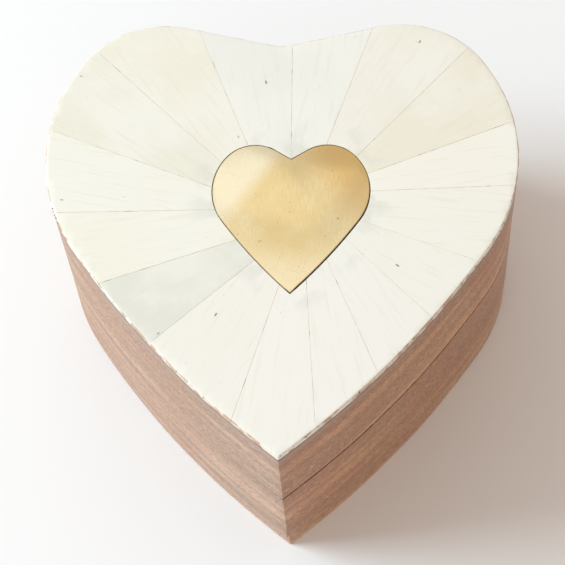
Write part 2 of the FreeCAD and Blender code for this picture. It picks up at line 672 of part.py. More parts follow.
# flat key, screwed on the arbor inside the recess
key_hub = rod("key_hub", 3.2, 5, (wind_x, wind_y, 1.4))
key_wings = box("key_wings", ("key_span", 1.5, 5), ("drum_place - key_span / 2", "cylinder_place - 0.75", 1.2))
key_wing_edges = doc.addObject("Part::Fillet", "key_wing_edges")
key_wing_edges.Base = key_wings
doc.recompute()
corners = [index + 1 for index, edge in enumerate(key_wings.Shape.Edges) if edge.BoundBox.YLength > 1.4]
key_wing_edges.Edges = [(index, 2.0, 2.0) for index in corners]
key_bore = rod("key_bore", "arbor_radius", 6, (wind_x, wind_y, 3))
wing_holes = [rod(f"wing_hole_{index}", 1.2, 4, (f"drum_place + {place}", "cylinder_place - 2", 3.7), "y")
              for index, place in enumerate((-6.6, 6.6))]
keep(cut("winding_key", fuse("key_blank", key_hub, key_wing_edges), key_bore, *wing_holes), "winding_key")

# ------------------------------------------------------------------ movement: cylinder and comb


def gear_points(teeth, module, middle_share=0.36, depth=(0.95, 1.2), turn=0.0):
    # straight-flanked teeth; the shares are of one tooth's pitch at root, middle and tip
    pitch_radius = teeth * module / 2
    tip, root = pitch_radius + depth[0] * module, pitch_radius - depth[1] * module
    points = []
    for index in range(teeth):
        for share, radius in ((-0.27, root), (-middle_share / 2, pitch_radius), (-0.08, tip),
                              (0.08, tip), (middle_share / 2, pitch_radius), (0.27, root)):
            points.append(polar(radius, 360 * (index + share) / teeth + turn))
    return points


def across(shape, start_x):
    # turns a piece built along +Z so that it lies along +X on the cylinder's axis
    shape.rotate(Vector(0, 0, 0), Vector(0, 1, 0), 90)
    return moved(shape, start_x, size.cylinder_place, size.cylinder_height)


def bored(shape, radius):
    return shape.cut(Part.makeCylinder(radius, 60, Vector(0, 0, -30)))


def pinned_tube():
    # each note has a few pins; their order is arithmetic and plays no tune
    length, shell = 19.4, 0.6
    tube = Part.makeCylinder(size.cylinder_radius, length)
    pitch = size.comb_length / size.comb_teeth
    pins = []
    for note in range(size.comb_teeth):
        for beat in range(4 + note % 2):
            turn = (note * 137.5 + beat * 83 + (note * beat * 29) % 47) % 360
            pin = Part.makeCylinder(0.22, 1.0 + size.pin_height, Vector(size.cylinder_radius - 1, 0, 0),
                                    Vector(1, 0, 0))
            pin.rotate(Vector(0, 0, 0), Vector(0, 0, 1), turn)
            pins.append(moved(pin, 0, 0, 0.2 + (note + 0.5) * pitch))
    tube = tube.multiFuse(pins)
    return bored(tube, size.cylinder_radius - shell)


keep(formed("cylinder", across(pinned_tube(), 0.4)), "cylinder")
keep(rod("cylinder_shaft", 0.75, 28.6, at(-5.1, "axis_side", "axis_height"), "x"), "cylinder_shaft")
end_disc = rod("end_disc", "cylinder_radius - 0.6", 1, at(0.6, "axis_side", "axis_height"), "x")
end_hub = rod("end_hub", 1.6, 1.4, at(-0.8, "axis_side", "axis_height"), "x")
shaft_fit = rod("shaft_fit", 0.75, 30, at(-6, "axis_side", "axis_height"), "x")
keep(cut("cylinder_end", fuse("end_blank", end_disc, end_hub), shaft_fit), "cylinder_end")

pinion = prism(gear_points(size.pinion_teeth, size.crown_module, 0.36, (0.85, 1.1), 180 / size.pinion_teeth),
               0, 1.8)
pinion = pinion.fuse(Part.makeCylinder(1.4, 0.7, Vector(0, 0, 1.8)))
keep(formed("cylinder_pinion", across(bored(pinion, 0.75), size.drum_place + 8.1)), "cylinder_pinion")

mesh_turn = 90 - size.train_drop
gear = prism(gear_points(size.gear_teeth, size.train_module, turn=mesh_turn + 180 / size.gear_teeth), 0, 1.4)
gear = gear.fuse(Part.makeCylinder(size.cylinder_radius - 0.6, 1.1, Vector(0, 0, -1.1)))
keep(formed("cylinder_gear", across(bored(gear, 0.75), 19.8)), "cylinder_gear")


def comb_shape():
    # low notes on the left have the longest teeth
    base = size.move_floor + size.axis_height - size.comb_thickness / 2
    left, front = 0.6, size.move_place - 19.6
    tips = size.cylinder_place - size.cylinder_radius - size.pin_height - 0.35
    pitch = size.comb_length / size.comb_teeth
    plate = Part.makeBox(size.comb_length, tips - front, size.comb_thickness, Vector(left, front, base))
    slots = []
    for index in range(1, size.comb_teeth):
        tooth_length = 11.4 - 3.6 * index / size.comb_teeth
        slots.append(Part.makeBox(0.36, tooth_length + 1, 3,
                                  Vector(left + index * pitch - 0.18, tips - tooth_length, base - 1)))
    return plate.cut(Part.makeCompound(slots))


keep(cut("comb", formed("comb_blank", comb_shape()), comb_holes), "comb")
comb_weights = [
    box(f"comb_weight_{index}", (0.6, f"{3.4 - 0.4 * index}", f"{1.5 - 0.15 * index}"),
        at(f"0.6 + ({index} + 0.5) * comb_length / comb_teeth - 0.3",
           f"axis_side - cylinder_radius - pin_height - {5.2 - 0.4 * index}",
           f"axis_height - comb_thickness / 2 - {1.5 - 0.15 * index}"))
    for index in range(6)
]
weight_group = doc.addObject("Part::Compound", "comb_weights")
weight_group.Links = comb_weights
keep(weight_group, "comb_weights")

# ------------------------------------------------------------------ movement: governor


def on_train(shape, start_x):
    shape.rotate(Vector(0, 0, 0), Vector(0, 1, 0), 90)
    return moved(shape, start_x, size.cylinder_place + size.train_side, size.cylinder_height - size.train_fall)


def worm_wheel():
    # outer radius kept short of the worm's core
    middle = size.worm_teeth * size.worm_lead / (2 * math.pi)
    points = []
    for index in range(size.worm_teeth):
        for share, radius in ((-0.26, middle - 0.45), (-0.13, middle + 0.22), (0.13, middle + 0.22),
                              (0.26, middle - 0.45)):
            points.append(polar(radius, 360 * (index + share) / size.worm_teeth + 90))
    return prism(points, 0, 1.0)


keep(formed("governor_wheel", on_train(bored(worm_wheel(), 0.5), size.worm_place - 0.5)), "governor_wheel")
train_pinion = prism(gear_points(size.train_teeth, size.train_module, 0.36, (0.8, 1.1), mesh_turn + 180), 0, 1.6)
arbor_blank = Part.makeCylinder(0.5, 11.4, Vector(0, 0, 0)).fuse(moved(train_pinion, 0, 0, 7.4))
keep(formed("governor_arbor", on_train(arbor_blank, 12.3)), "governor_arbor")


def worm_shape():
    # one thread, swept along a helix round its core
    x = size.worm_place
    y = size.cylinder_place + size.train_side + size.worm_side
    middle = size.cylinder_height - size.train_fall
    helix = Part.makeHelix(size.worm_lead, 5 * size.worm_lead, size.worm_radius)
    thread = Part.makePolygon([Vector(radius, 0, up) for radius, up in
                               ((0.4, -0.26), (1.12, -0.1), (1.12, 0.1), (0.4, 0.26), (0.4, -0.26))])
    thread = Part.Wire(helix).makePipeShell([thread], True, True)
    thread = moved(thread, x, y, middle - 2.25 * size.worm_lead)
    core = Part.makeCylinder(0.5, 17.2, Vector(x, y, size.move_floor + 0.9))
    return core.fuse(thread)


keep(formed("worm", worm_shape()), "worm")
fly_place = ("worm_place", "axis_side + train_side + worm_side")
fly_hub = rod("fly_hub", 1.0, 4.2, at(*fly_place, 9.4))
fly_blade = box("fly_blade", ("2 * fly_radius", 0.5, 4.2),
                at("worm_place - fly_radius", "axis_side + train_side + worm_side - 0.25", 9.4))
fly_fit = rod("fly_fit", 0.5, 6, at(*fly_place, 9))
keep(cut("fly", fuse("fly_blank", fly_hub, fly_blade), fly_fit), "fly")

# ------------------------------------------------------------------ stop plunger, pressed by the closed lid
plunger_x, plunger_y = "plunger_place", "plunger_depth"
bracket_blocks = [
    box("bracket_foot", (4.6, 4.5, 0.8), at(19.4, 20.9, 0)),
    box("bracket_back", (1, 3.8, 12), at(23, 21.6, 0)),
    box("bracket_low_ear", (4.6, 2.8, 1), at(19.4, 22.6, 2.6)),
    box("bracket_high_ear", (4.6, 2.8, 1), at(19.4, 22.6, 11)),
]
ear_bore = rod("ear_bore", "plunger_radius + 0.05", 12, (plunger_x, plunger_y, "move_floor + 1"))
keep(cut("stop_bracket", fuse("bracket_blank", *bracket_blocks), ear_bore, stop_bracket_hole), "stop_bracket")

plunger_rod = rod("plunger_rod", "plunger_radius", "parting_height - 0.1 - move_floor - 1",
                  (plunger_x, plunger_y, "move_floor + 1"))
plunger_collar = rod("plunger_collar", "plunger_radius + 0.5", 1, (plunger_x, plunger_y, "move_floor + 7.2"))


def stop_arm():
    # a wire from the plunger towards the fly, ending just outside its sweep
    fly_x = size.worm_place
    fly_y = size.cylinder_place + size.train_side + size.worm_side
    height = size.move_floor + 13.0
    start = Vector(size.plunger_place, size.plunger_depth, height)
    towards = start - Vector(fly_x, fly_y, height)
    length = towards.Length - size.fly_radius - 0.65
    return Part.makeCylinder(0.35, length, start, -towards)


keep(fuse("stop_plunger", plunger_rod, plunger_collar, formed("stop_arm", stop_arm())), "stop_plunger")


def open_coil(radius, wire, height, turns, foot):
    pitch = (height - 2 * wire) / turns
    helix = Part.makeHelix(pitch, pitch * turns, radius)
    ring = Part.Wire(Part.makeCircle(wire, Vector(radius, 0, 0), Vector(0, 1, 0)))
    coil = Part.Wire(helix).makePipeShell([ring], True, True)
    return moved(coil, foot[0], foot[1], foot[2] + wire)


keep(formed("stop_spring", open_coil(
    size.plunger_radius + 0.3, 0.17, 3.6, 4,
    (size.plunger_place, size.plunger_depth, size.move_floor + 3.6))), "stop_spring")

# ------------------------------------------------------------------ check and write
doc.recompute()
failed = [item.Name for item in doc.Objects if "Invalid" in item.State or "Error" in item.State]
for item in nodes:
    if item.Shape.isNull() or not item.Shape.isValid():
        failed.append(item.Label)
if failed:
    raise RuntimeError("not built: " + ", ".join(failed))
os.makedirs("parts", exist_ok=True)
for item in nodes:
    item.Shape.exportStep(f"parts/{item.Label}.step")
print(len(nodes), "nodes written")
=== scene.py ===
import math

import bmesh
import bpy
import numpy as np
from mathutils import Matrix, Vector, noise


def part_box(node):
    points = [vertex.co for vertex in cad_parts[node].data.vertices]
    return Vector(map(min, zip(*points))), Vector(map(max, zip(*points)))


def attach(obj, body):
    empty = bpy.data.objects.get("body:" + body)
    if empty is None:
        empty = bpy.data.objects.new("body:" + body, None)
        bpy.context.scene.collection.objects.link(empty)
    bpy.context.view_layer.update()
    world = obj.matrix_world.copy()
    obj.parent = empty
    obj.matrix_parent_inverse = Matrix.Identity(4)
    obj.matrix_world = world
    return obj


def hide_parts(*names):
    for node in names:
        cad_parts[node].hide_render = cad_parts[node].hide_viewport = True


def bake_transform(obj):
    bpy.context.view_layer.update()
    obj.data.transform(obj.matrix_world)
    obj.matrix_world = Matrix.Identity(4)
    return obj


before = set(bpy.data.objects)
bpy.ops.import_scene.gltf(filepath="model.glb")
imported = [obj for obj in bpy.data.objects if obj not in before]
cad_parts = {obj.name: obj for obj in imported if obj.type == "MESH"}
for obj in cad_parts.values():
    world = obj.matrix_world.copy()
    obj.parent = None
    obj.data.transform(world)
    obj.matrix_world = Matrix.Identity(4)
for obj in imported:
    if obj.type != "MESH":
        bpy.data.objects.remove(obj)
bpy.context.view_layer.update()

mm = 0.001
print("stage: frame loaded")


def meshFrom(shape, name):
    mesh = bpy.data.meshes.new(name)
    shape.to_mesh(mesh)
    shape.free()
    return mesh


def plainObject(name, mesh):
    thing = bpy.data.objects.new(name, mesh)
    bpy.context.scene.collection.objects.link(thing)
    return thing


def middleOf(low, high):
    return (low + high) / 2


# small helpers for node trees

def nodeAdder(tree):
    def add(kind, feeds=None, **settings):
        node = tree.nodes.new(kind)
        for key, value in settings.items():
            setattr(node, key, value)
        for socket, value in (feeds or {}).items():
            if isinstance(value, bpy.types.NodeSocket):
                tree.links.new(value, node.inputs[socket])
            else:
                node.inputs[socket].default_value = value
        return node
    return add


def newGroup(name, kind, inputs, outputs):
    tree = bpy.data.node_groups.new(name, kind)
    sockets = tree.interface
    for label, shape, value in inputs:
        socket = sockets.new_socket(name=label, in_out="INPUT", socket_type="NodeSocket" + shape)
        if value is not None:
            socket.default_value = value
    for label, shape in outputs:
        sockets.new_socket(name=label, in_out="OUTPUT", socket_type="NodeSocket" + shape)
    return tree, nodeAdder(tree), tree.nodes.new("NodeGroupInput"), tree.nodes.new("NodeGroupOutput")


def paint(red, green, blue):
    # a display colour, 0 to 255, as the linear colour that a shader takes
    return tuple(((c / 255 + 0.055) / 1.055) ** 2.4 for c in (red, green, blue)) + (1.0,)


def mixColours(add, share, first, second, kind="MIX"):
    node = add("ShaderNodeMix", {0: share, 6: first, 7: second}, data_type="RGBA", blend_type=kind)
    return node.outputs[2]


def layered(add, body, mask, amount, colour, kind="MIX"):
    # a colour laid over a body colour where a mask says, up to an amount
    return mixColours(add, times(add, mask, amount), body, colour, kind)


def mixNumbers(add, share, first, second):
    node = add("ShaderNodeMix", {0: share, 2: first, 3: second}, data_type="FLOAT")
    return node.outputs[0]


def calc(add, operation, first, second=0.0):
    return add("ShaderNodeMath", {0: first, 1: second}, operation=operation).outputs[0]


def times(add, first, second):
    return calc(add, "MULTIPLY", first, second)


def plus(add, first, second):
    return calc(add, "ADD", first, second)


def vectorMath(add, operation, first, second):
    return add("ShaderNodeVectorMath", {0: first, 1: second}, operation=operation)


def compared(add, operation, first, second):
    feeds = {0: first, 1: second}
    return add("FunctionNodeCompare", feeds, data_type="FLOAT", operation=operation).outputs[0]


def noiseOver(add, vector, scale, detail, roughness=0.5):
    feeds = {"Vector": vector, "Scale": scale, "Detail": detail, "Roughness": roughness}
    return add("ShaderNodeTexNoise", feeds).outputs["Fac"]


def ramp(add, value, low, high):
    node = add("ShaderNodeMapRange", {"Value": value, "From Min": low, "From Max": high},
               interpolation_type="SMOOTHSTEP")
    return node.outputs["Result"]


# effects shared by several finishes

def buildMarks():
    # streaks, pores or scratches: noise stretched unevenly, kept where it is over a level
    tree, add, inside, outside = newGroup("marks", "ShaderNodeTree", [
        ("Vector", "Vector", None), ("Cells per metre", "Vector", (1000, 1000, 1000)),
        ("Level", "Float", 0.6), ("Softness", "Float", 0.05),
        ("Roughness", "Float", 0.5)], [("Mask", "Float"), ("Value", "Float")])
    give = inside.outputs
    stretched = vectorMath(add, "MULTIPLY", give["Vector"], give["Cells per metre"])
    field = noiseOver(add, stretched.outputs[0], 1.0, 3.0, give["Roughness"])
    top = plus(add, give["Level"], give["Softness"])
    mask = ramp(add, field, give["Level"], top)
    tree.links.new(mask, outside.inputs["Mask"])
    tree.links.new(field, outside.inputs["Value"])
    return tree


def buildClouds():
    # slow changes of tone between two colours
    tree, add, inside, outside = newGroup("clouds", "ShaderNodeTree", [
        ("Vector", "Vector", None), ("First", "Color", (1, 1, 1, 1)),
        ("Second", "Color", (0.8, 0.8, 0.8, 1)), ("Cells per metre", "Float", 100.0),
        ("Amount", "Float", 1.0)], [("Color", "Color")])
    give = inside.outputs
    field = noiseOver(add, give["Vector"], give["Cells per metre"], 4.0, 0.55)
    share = times(add, ramp(add, field, 0.38, 0.64), give["Amount"])
    colour = mixColours(add, share, give["First"], give["Second"])
    tree.links.new(colour, outside.inputs["Color"])
    return tree


def buildScratches():
    # fine lines in two crossing directions, with slow patches where they thin out
    tree, add, inside, outside = newGroup("scratches", "ShaderNodeTree", [
        ("Vector", "Vector", None), ("Fineness", "Float", 4000.0),
        ("Amount", "Float", 0.5)], [("Mask", "Float")])
    give = inside.outputs
    masks = []
    for turn in (0.35, 1.9):
        feeds = {"Vector": give["Vector"], "Angle": turn}
        turned = add("ShaderNodeVectorRotate", feeds, rotation_type="Z_AXIS")
        flat = vectorMath(add, "MULTIPLY", turned.outputs[0], (1.0, 0.02, 0.3))
        masks.append(ramp(add, noiseOver(add, flat.outputs[0], give["Fineness"], 1.0), 0.66, 0.72))
    patches = noiseOver(add, give["Vector"], 90.0, 2.0)
    thinned = times(add, calc(add, "MAXIMUM", *masks), ramp(add, patches, 0.42, 0.62))
    tree.links.new(times(add, thinned, give["Amount"]), outside.inputs["Mask"])
    return tree


marksGroup = buildMarks()
cloudsGroup = buildClouds()
scratchesGroup = buildScratches()


def newFinish(name, metallic=0.0, specular=0.5):
    material = bpy.data.materials.new(name)
    material.use_nodes = True
    tree = material.node_tree
    tree.nodes.clear()
    add = nodeAdder(tree)
    shader = add("ShaderNodeBsdfPrincipled", {"Metallic": metallic, "Specular IOR Level": specular})
    add("ShaderNodeOutputMaterial", {"Surface": shader.outputs["BSDF"]})
    place = add("ShaderNodeTexCoord").outputs["Object"]

    inputNames = {"colour": "Base Color", "roughness": "Roughness", "normal": "Normal", "bend": "IOR",
                  "sheen": "Sheen Weight", "sheenSpread": "Sheen Roughness", "clear": "Transmission Weight"}

    def feed(**values):
        for socket, value in values.items():
            target = shader.inputs[inputNames[socket]]
            if isinstance(value, bpy.types.NodeSocket):
                tree.links.new(value, target)
            else:
                target.default_value = value

    def marks(vector, cells, level, softness=0.05, roughness=0.5):
        return add("ShaderNodeGroup", {"Vector": vector, "Cells per metre": cells, "Level": level,
                                       "Softness": softness, "Roughness": roughness}, node_tree=marksGroup)

    def clouds(vector, first, second, cells, amount=1.0):
        feeds = {"Vector": vector, "First": first, "Second": second, "Cells per metre": cells,
                 "Amount": amount}
        return add("ShaderNodeGroup", feeds, node_tree=cloudsGroup).outputs["Color"]

    def scratches(vector, fineness, amount):
        return add("ShaderNodeGroup", {"Vector": vector, "Fineness": fineness, "Amount": amount},
                   node_tree=scratchesGroup).outputs["Mask"]

    def bump(height, strength, distance, invert=False):
        return add("ShaderNodeBump", {"Height": height, "Strength": strength, "Distance": distance},
                   invert=invert).outputs["Normal"]

    tools = {"add": add, "place": place, "feed": feed, "marks": marks, "clouds": clouds,
             "scratches": scratches, "bump": bump}
    return material, tools


# finishes

boneLook = {
    "cloud": paint(245, 242, 233), "cloudSize": 75.0, "cloudiness": 0.6,
    "glass": paint(222, 220, 210), "glassy": 0.6, "glassReach": 7.0,     # mm out from the brass
    "fibre": paint(226, 214, 190), "streak": 0.22,
    "pore": paint(176, 162, 140), "pored": 0.55,
    "filler": paint(120, 94, 70), "filled": 0.75, "dotSize": 0.07, "dotStretch": (0.12, 0.27, 1.0),
    "joint": paint(210, 200, 180), "seam": 0.0, "seamFrom": (0.6, 1.2),
    "rim": 0.6, "rimReach": 0.5, "shine": 0.3, "relief": 0.25,
    # marks: cells, level, softness, roughness
    "milky": ((160, 160, 160), 0.5, 0.16), "streaks": ((0.09, 1.3, 1.0), 0.52, 0.2),
    "pores": ((0.75, 3.2, 1.0), 0.70, 0.03, 0.6), "dotted": ((120, 120, 120), 0.53, 0.02),
    "stains": ((420, 420, 420), 0.47, 0.1), "rarely": ((300, 300, 300), 0.56, 0.06)}
boneEdgeLook = {**boneLook, "cloud": paint(230, 210, 184), "cloudiness": 0.75, "glassy": 0.1,
                "streak": 0.45, "fibre": paint(196, 156, 122), "seam": 0.9, "rim": 0.9, "shine": 0.45}


def boneFinish(name, look):
    material, tool = newFinish(name)
    add, place, marks = tool["add"], tool["place"], tool["marks"]
    tone = add("ShaderNodeAttribute", attribute_name="tone").outputs["Color"]
    reach = add("ShaderNodeAttribute", attribute_name="reach").outputs["Vector"]
    reach = add("ShaderNodeSeparateXYZ", {0: reach})
    toRim, toBrass = reach.outputs["X"], reach.outputs["Y"]
    fibre = add("ShaderNodeUVMap", uv_map="fibre").outputs["UV"]
    body = tool["clouds"](place, tone, look["cloud"], look["cloudSize"], look["cloudiness"])
    milky = marks(place, *look["milky"])
    nearBrass = times(add, ramp(add, toBrass, look["glassReach"], 0.3), milky.outputs["Mask"])
    body = layered(add, body, nearBrass, look["glassy"], look["glass"])
    streaks = marks(fibre, *look["streaks"])
    body = layered(add, body, streaks.outputs["Mask"], look["streak"], look["fibre"])
    pores = marks(fibre, *look["pores"])
    body = layered(add, body, pores.outputs["Mask"], look["pored"], look["pore"])
    stretched = vectorMath(add, "MULTIPLY", fibre, look["dotStretch"])
    dots = add("ShaderNodeTexVoronoi", {"Vector": stretched.outputs[0], "Scale": 1.0, "Randomness": 1.0})
    dotMask = ramp(add, dots.outputs["Distance"], look["dotSize"], look["dotSize"] / 2)
    dotMask = times(add, dotMask, marks(place, *look["dotted"]).outputs["Mask"])
    body = layered(add, body, dotMask, look["filled"], look["filler"])
    stain = marks(place, *look["stains"]).outputs["Mask"]
    if look["seam"]:
        line = times(add, ramp(add, toRim, *look["seamFrom"]), look["seam"])
        line = times(add, line, mixNumbers(add, stain, 0.35, 1.0))
        rare = marks(place, *look["rarely"]).outputs["Mask"]
        body = mixColours(add, line, body, mixColours(add, rare, look["joint"], look["filler"]))
    rim = times(add, ramp(add, toRim, look["rimReach"], 0.1), look["rim"])
    body = layered(add, body, rim, stain, look["fibre"])
    rough = mixNumbers(add, milky.outputs["Value"], look["shine"], look["shine"] + 0.2)
    grooves = times(add, streaks.outputs["Value"], 0.25)
    relief = plus(add, pores.outputs["Mask"], grooves)
    tool["feed"](colour=body, roughness=rough,
                 normal=tool["bump"](relief, look["relief"], 0.00004, invert=True))
    return material


boneTop = boneFinish("polishedBone", boneLook)
boneEdge = boneFinish("sawnBoneEdge", boneEdgeLook)


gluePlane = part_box("brass_heart")[0].z / mm
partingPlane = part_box("lid_body")[0].z / mm
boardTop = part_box("bottom_board")[1].z / mm
woodLook = {
    "dark": paint(164, 121, 88), "light": paint(209, 164, 131),
    "red": paint(174, 114, 76), "redSize": 60.0, "redness": 0.45,
    # painted shade: the tint below makes the right wall darker and more orange, most of all towards the
    # front
    "warm": paint(255, 228, 180), "warmth": 0.9, "warmEdge": 2.0, "warmDepth": 26.0,   # mm
    "grey": paint(162, 130, 112), "greyness": 0.8, "greyFrom": gluePlane - 3.2, "greyWander": 9.0,
    "pore": paint(100, 68, 50), "pitted": 0.62, "fibrous": 0.16,
    "fleck": paint(234, 202, 174), "flecked": 0.42, "scuffed": 0.4,
    "line": paint(62, 40, 30), "lined": 0.85, "sheen": 0.24, "shine": (0.42, 0.72), "relief": 0.5,
    # height of a dark line, its half width, and whether it shows only on the right wall; the glue and board
    # lines are dark joints, the right-only one is painted shade in the gap between lid and base
    "lines": ((gluePlane, 0.5, False), (boardTop, 0.25, False), (partingPlane - 0.3, 0.55, True)),
    # marks: cells, level, softness, roughness
    "bands": ((14, 14, 260), 0.42, 0.24, 0.55), "pores": ((330, 1800, 2500), 0.56, 0.07, 0.6),
    "flecks": ((260, 1500, 2900), 0.57, 0.06, 0.6), "fibres": ((60, 900, 900), 0.4, 0.3)}
boardLook = {**woodLook, "dark": paint(184, 136, 100), "light": paint(218, 172, 134),
             "greyFrom": 900.0, "warmth": 0.3}


def woodFinish(name, look):
    material, tool = newFinish(name, specular=0.4)
    add, place, marks = tool["add"], tool["place"], tool["marks"]
    apart = add("ShaderNodeSeparateXYZ", {0: place})
    height = times(add, apart.outputs["Z"], 1 / mm)
    bands = marks(place, *look["bands"])
    body = mixColours(add, bands.outputs["Mask"], look["dark"], look["light"])
    body = tool["clouds"](place, body, look["red"], look["redSize"], look["redness"])
    # painted shade: the right wall, most of all towards the front, is made darker and more orange, as the
    # side turned away from the key light
    rightSide = ramp(add, apart.outputs["X"], -look["warmEdge"] * mm, look["warmEdge"] * mm)
    warmSide = times(add, rightSide, ramp(add, apart.outputs["Y"], look["warmDepth"] * mm, 0.0))
    body = layered(add, body, warmSide, look["warmth"], look["warm"], "MULTIPLY")
    # the sanded band under the bone is greyer and its pores are filled
    centred = calc(add, "SUBTRACT", bands.outputs["Value"], 0.5)
    wander = times(add, centred, look["greyWander"])
    smooth = ramp(add, plus(add, height, wander), look["greyFrom"], look["greyFrom"] + 1.2)
    body = layered(add, body, smooth, look["greyness"], look["grey"])
    porous = calc(add, "SUBTRACT", 1.0, times(add, smooth, 0.75))
    pores = marks(place, *look["pores"])
    pits = times(add, pores.outputs["Mask"], porous)
    body = layered(add, body, pits, look["pitted"], look["pore"])
    flecks = times(add, marks(place, *look["flecks"]).outputs["Mask"], porous)
    body = layered(add, body, flecks, look["flecked"], look["fleck"])
    fibres = marks(place, *look["fibres"])
    body = layered(add, body, fibres.outputs["Mask"], look["fibrous"], look["pore"])
    facing = add("ShaderNodeSeparateXYZ", {0: add("ShaderNodeTexCoord").outputs["Normal"]}).outputs["Z"]
    rightWall = times(add, rightSide, ramp(add, calc(add, "ABSOLUTE", facing), 0.8, 0.5))
    for level, half, rightOnly in look["lines"]:
        away = calc(add, "ABSOLUTE", calc(add, "SUBTRACT", height, level))
        near = ramp(add, away, half, half * 0.6)
        # the right-only line is painted shade of the gap between lid and base
        near = times(add, near, rightWall) if rightOnly else near
        body = layered(add, body, near, look["lined"], look["line"])
    scuffs = tool["scratches"](place, 2600.0, 0.5)
    body = layered(add, body, scuffs, look["scuffed"], look["fleck"])
    relief = plus(add, pits, times(add, fibres.outputs["Value"], 0.3))
    tool["feed"](colour=body, roughness=mixNumbers(add, pores.outputs["Value"], *look["shine"]),
                 sheen=look["sheen"], normal=tool["bump"](relief, look["relief"], 0.00008, invert=True))
    return material


wood = woodFinish("openPoredWood", woodLook)
boardWood = woodFinish("boardWood", boardLook)


plainMetal = {"patches": 70.0, "patchy": 0.5, "brushed": 0.2, "spotted": 0.7, "relief": 0.2,
              "fineness": 5000.0, "polished": ()}
metalLooks = {
    "inlay_brass": {
        "colour": paint(247, 236, 194), "second": paint(235, 214, 156), "spot": paint(176, 130, 66),
        "brush": (4200, 420, 900), "shine": 0.08, "brushed": 0.6, "patches": 60.0, "patchy": 0.8,
        "spotted": 0.69, "relief": 0.22,
        # painted reflections and shade: lighter patches for the light's sheen at the upper left and at the
        # tip, a darker one at the upper right; the way they lie, where they start and end in mm, amount and
        # colour
        "polished": (((-0.8, 0.6, 0), 7.4, 11.4, 0.85, paint(252, 249, 222)),
                     ((-0.195, -0.98, 0), 2.5, 8.0, 0.6, paint(252, 244, 210)),
                     ((0.8, 0.6, 0), 8.0, 18.0, 0.5, paint(226, 184, 110)))},
    "hardware_brass": {
        "colour": paint(214, 172, 96), "second": paint(178, 132, 68), "spot": paint(110, 78, 42),
        "brush": (400, 3000, 3000), "shine": 0.28, "spotted": 0.66},
    "movement_brass": {
        "colour": paint(228, 188, 104), "second": paint(206, 160, 80), "spot": paint(150, 108, 58),
        "brush": (300, 4000, 4000), "shine": 0.22, "brushed": 0.3},
    "steel": {
        "colour": paint(196, 197, 200), "second": paint(160, 161, 166), "spot": paint(104, 98, 94),
        "brush": (400, 3600, 3600), "shine": 0.24, "brushed": 0.35},
    "cast_metal": {
        "colour": paint(190, 190, 188), "second": paint(158, 158, 158), "spot": paint(110, 110, 110),
        "brush": (1500, 1500, 1500), "shine": 0.42, "spotted": 0.6, "relief": 0.5},
    "lead": {
        "colour": paint(118, 120, 126), "second": paint(90, 92, 98), "spot": paint(70, 70, 74),
        "brush": (1200, 1200, 1200), "shine": 0.5, "relief": 0.4},
}


def metalFinish(name, look):
    material, tool = newFinish(name, metallic=1.0)
    add, place = tool["add"], tool["place"]
    body = tool["clouds"](place, look["colour"], look["second"], look["patches"], look["patchy"])
    brushed = tool["marks"](place, look["brush"], 0.45, 0.2, 0.65)
    body = layered(add, body, brushed.outputs["Mask"], look["brushed"], look["second"])
    spots = tool["marks"](place, (900, 900, 900), look["spotted"], 0.04)
    body = layered(add, body, spots.outputs["Mask"], 0.6, look["spot"])
    across = times(add, calc(add, "SUBTRACT", brushed.outputs["Value"], 0.5), 1.2 * mm)
    # painted reflections and shade: lighter and darker patches laid into the brass colour
    for towards, start, end, amount, colour in look["polished"]:
        along = vectorMath(add, "DOT_PRODUCT", place, towards).outputs["Value"]
        worn = ramp(add, plus(add, along, across), start * mm, end * mm)
        body = layered(add, body, worn, amount, colour)
    scuffs = tool["scratches"](place, look["fineness"], 0.8)
    rough = mixNumbers(add, brushed.outputs["Value"], look["shine"], look["shine"] + 0.16)
    rough = plus(add, rough, times(add, scuffs, 0.14))
    relief = plus(add, brushed.outputs["Value"], times(add, scuffs, -0.6))
    tool["feed"](colour=body, roughness=rough, normal=tool["bump"](relief, look["relief"], 0.00002))
    return material


finishes = {slot: [metalFinish(slot + "Finish", {**plainMetal, **look})]
            for slot, look in metalLooks.items()}
finishes["wood"] = [wood]


feltLook = {"wine": paint(128, 30, 42), "deep": paint(98, 20, 32), "tip": paint(166, 62, 70), "fuzzy": 0.4,
            "sheen": 0.6, "sheenSpread": 0.45, "roughness": 0.95, "relief": 0.8}


def feltFinish(look):
    material, tool = newFinish("redFelt", specular=0.1)
    add, place = tool["add"], tool["place"]
    fuzz = tool["marks"](place, (1900, 1900, 1900), 0.42, 0.2, 0.7)
    body = tool["clouds"](place, look["wine"], look["deep"], 110.0, 0.8)
    body = layered(add, body, fuzz.outputs["Mask"], look["fuzzy"], look["tip"])
    tool["feed"](colour=body, roughness=look["roughness"], sheen=look["sheen"],
                 sheenSpread=look["sheenSpread"],
                 normal=tool["bump"](fuzz.outputs["Value"], look["relief"], 0.0003))
    return material


clearLook = {"colour": paint(244, 248, 248), "bend": 1.49, "fineness": 2400.0, "scuffed": 0.12,
             "roughness": 0.02}


def clearFinish(look):
    material, tool = newFinish("clearAcrylic")
    scuffs = tool["scratches"](tool["place"], look["fineness"], look["scuffed"])
    tool["feed"](colour=look["colour"], roughness=plus(tool["add"], scuffs, look["roughness"]),
                 clear=1.0, bend=look["bend"])
    return material


plasticLook = {"colour": paint(226, 220, 202), "second": paint(208, 200, 180), "shine": (0.35, 0.55)}


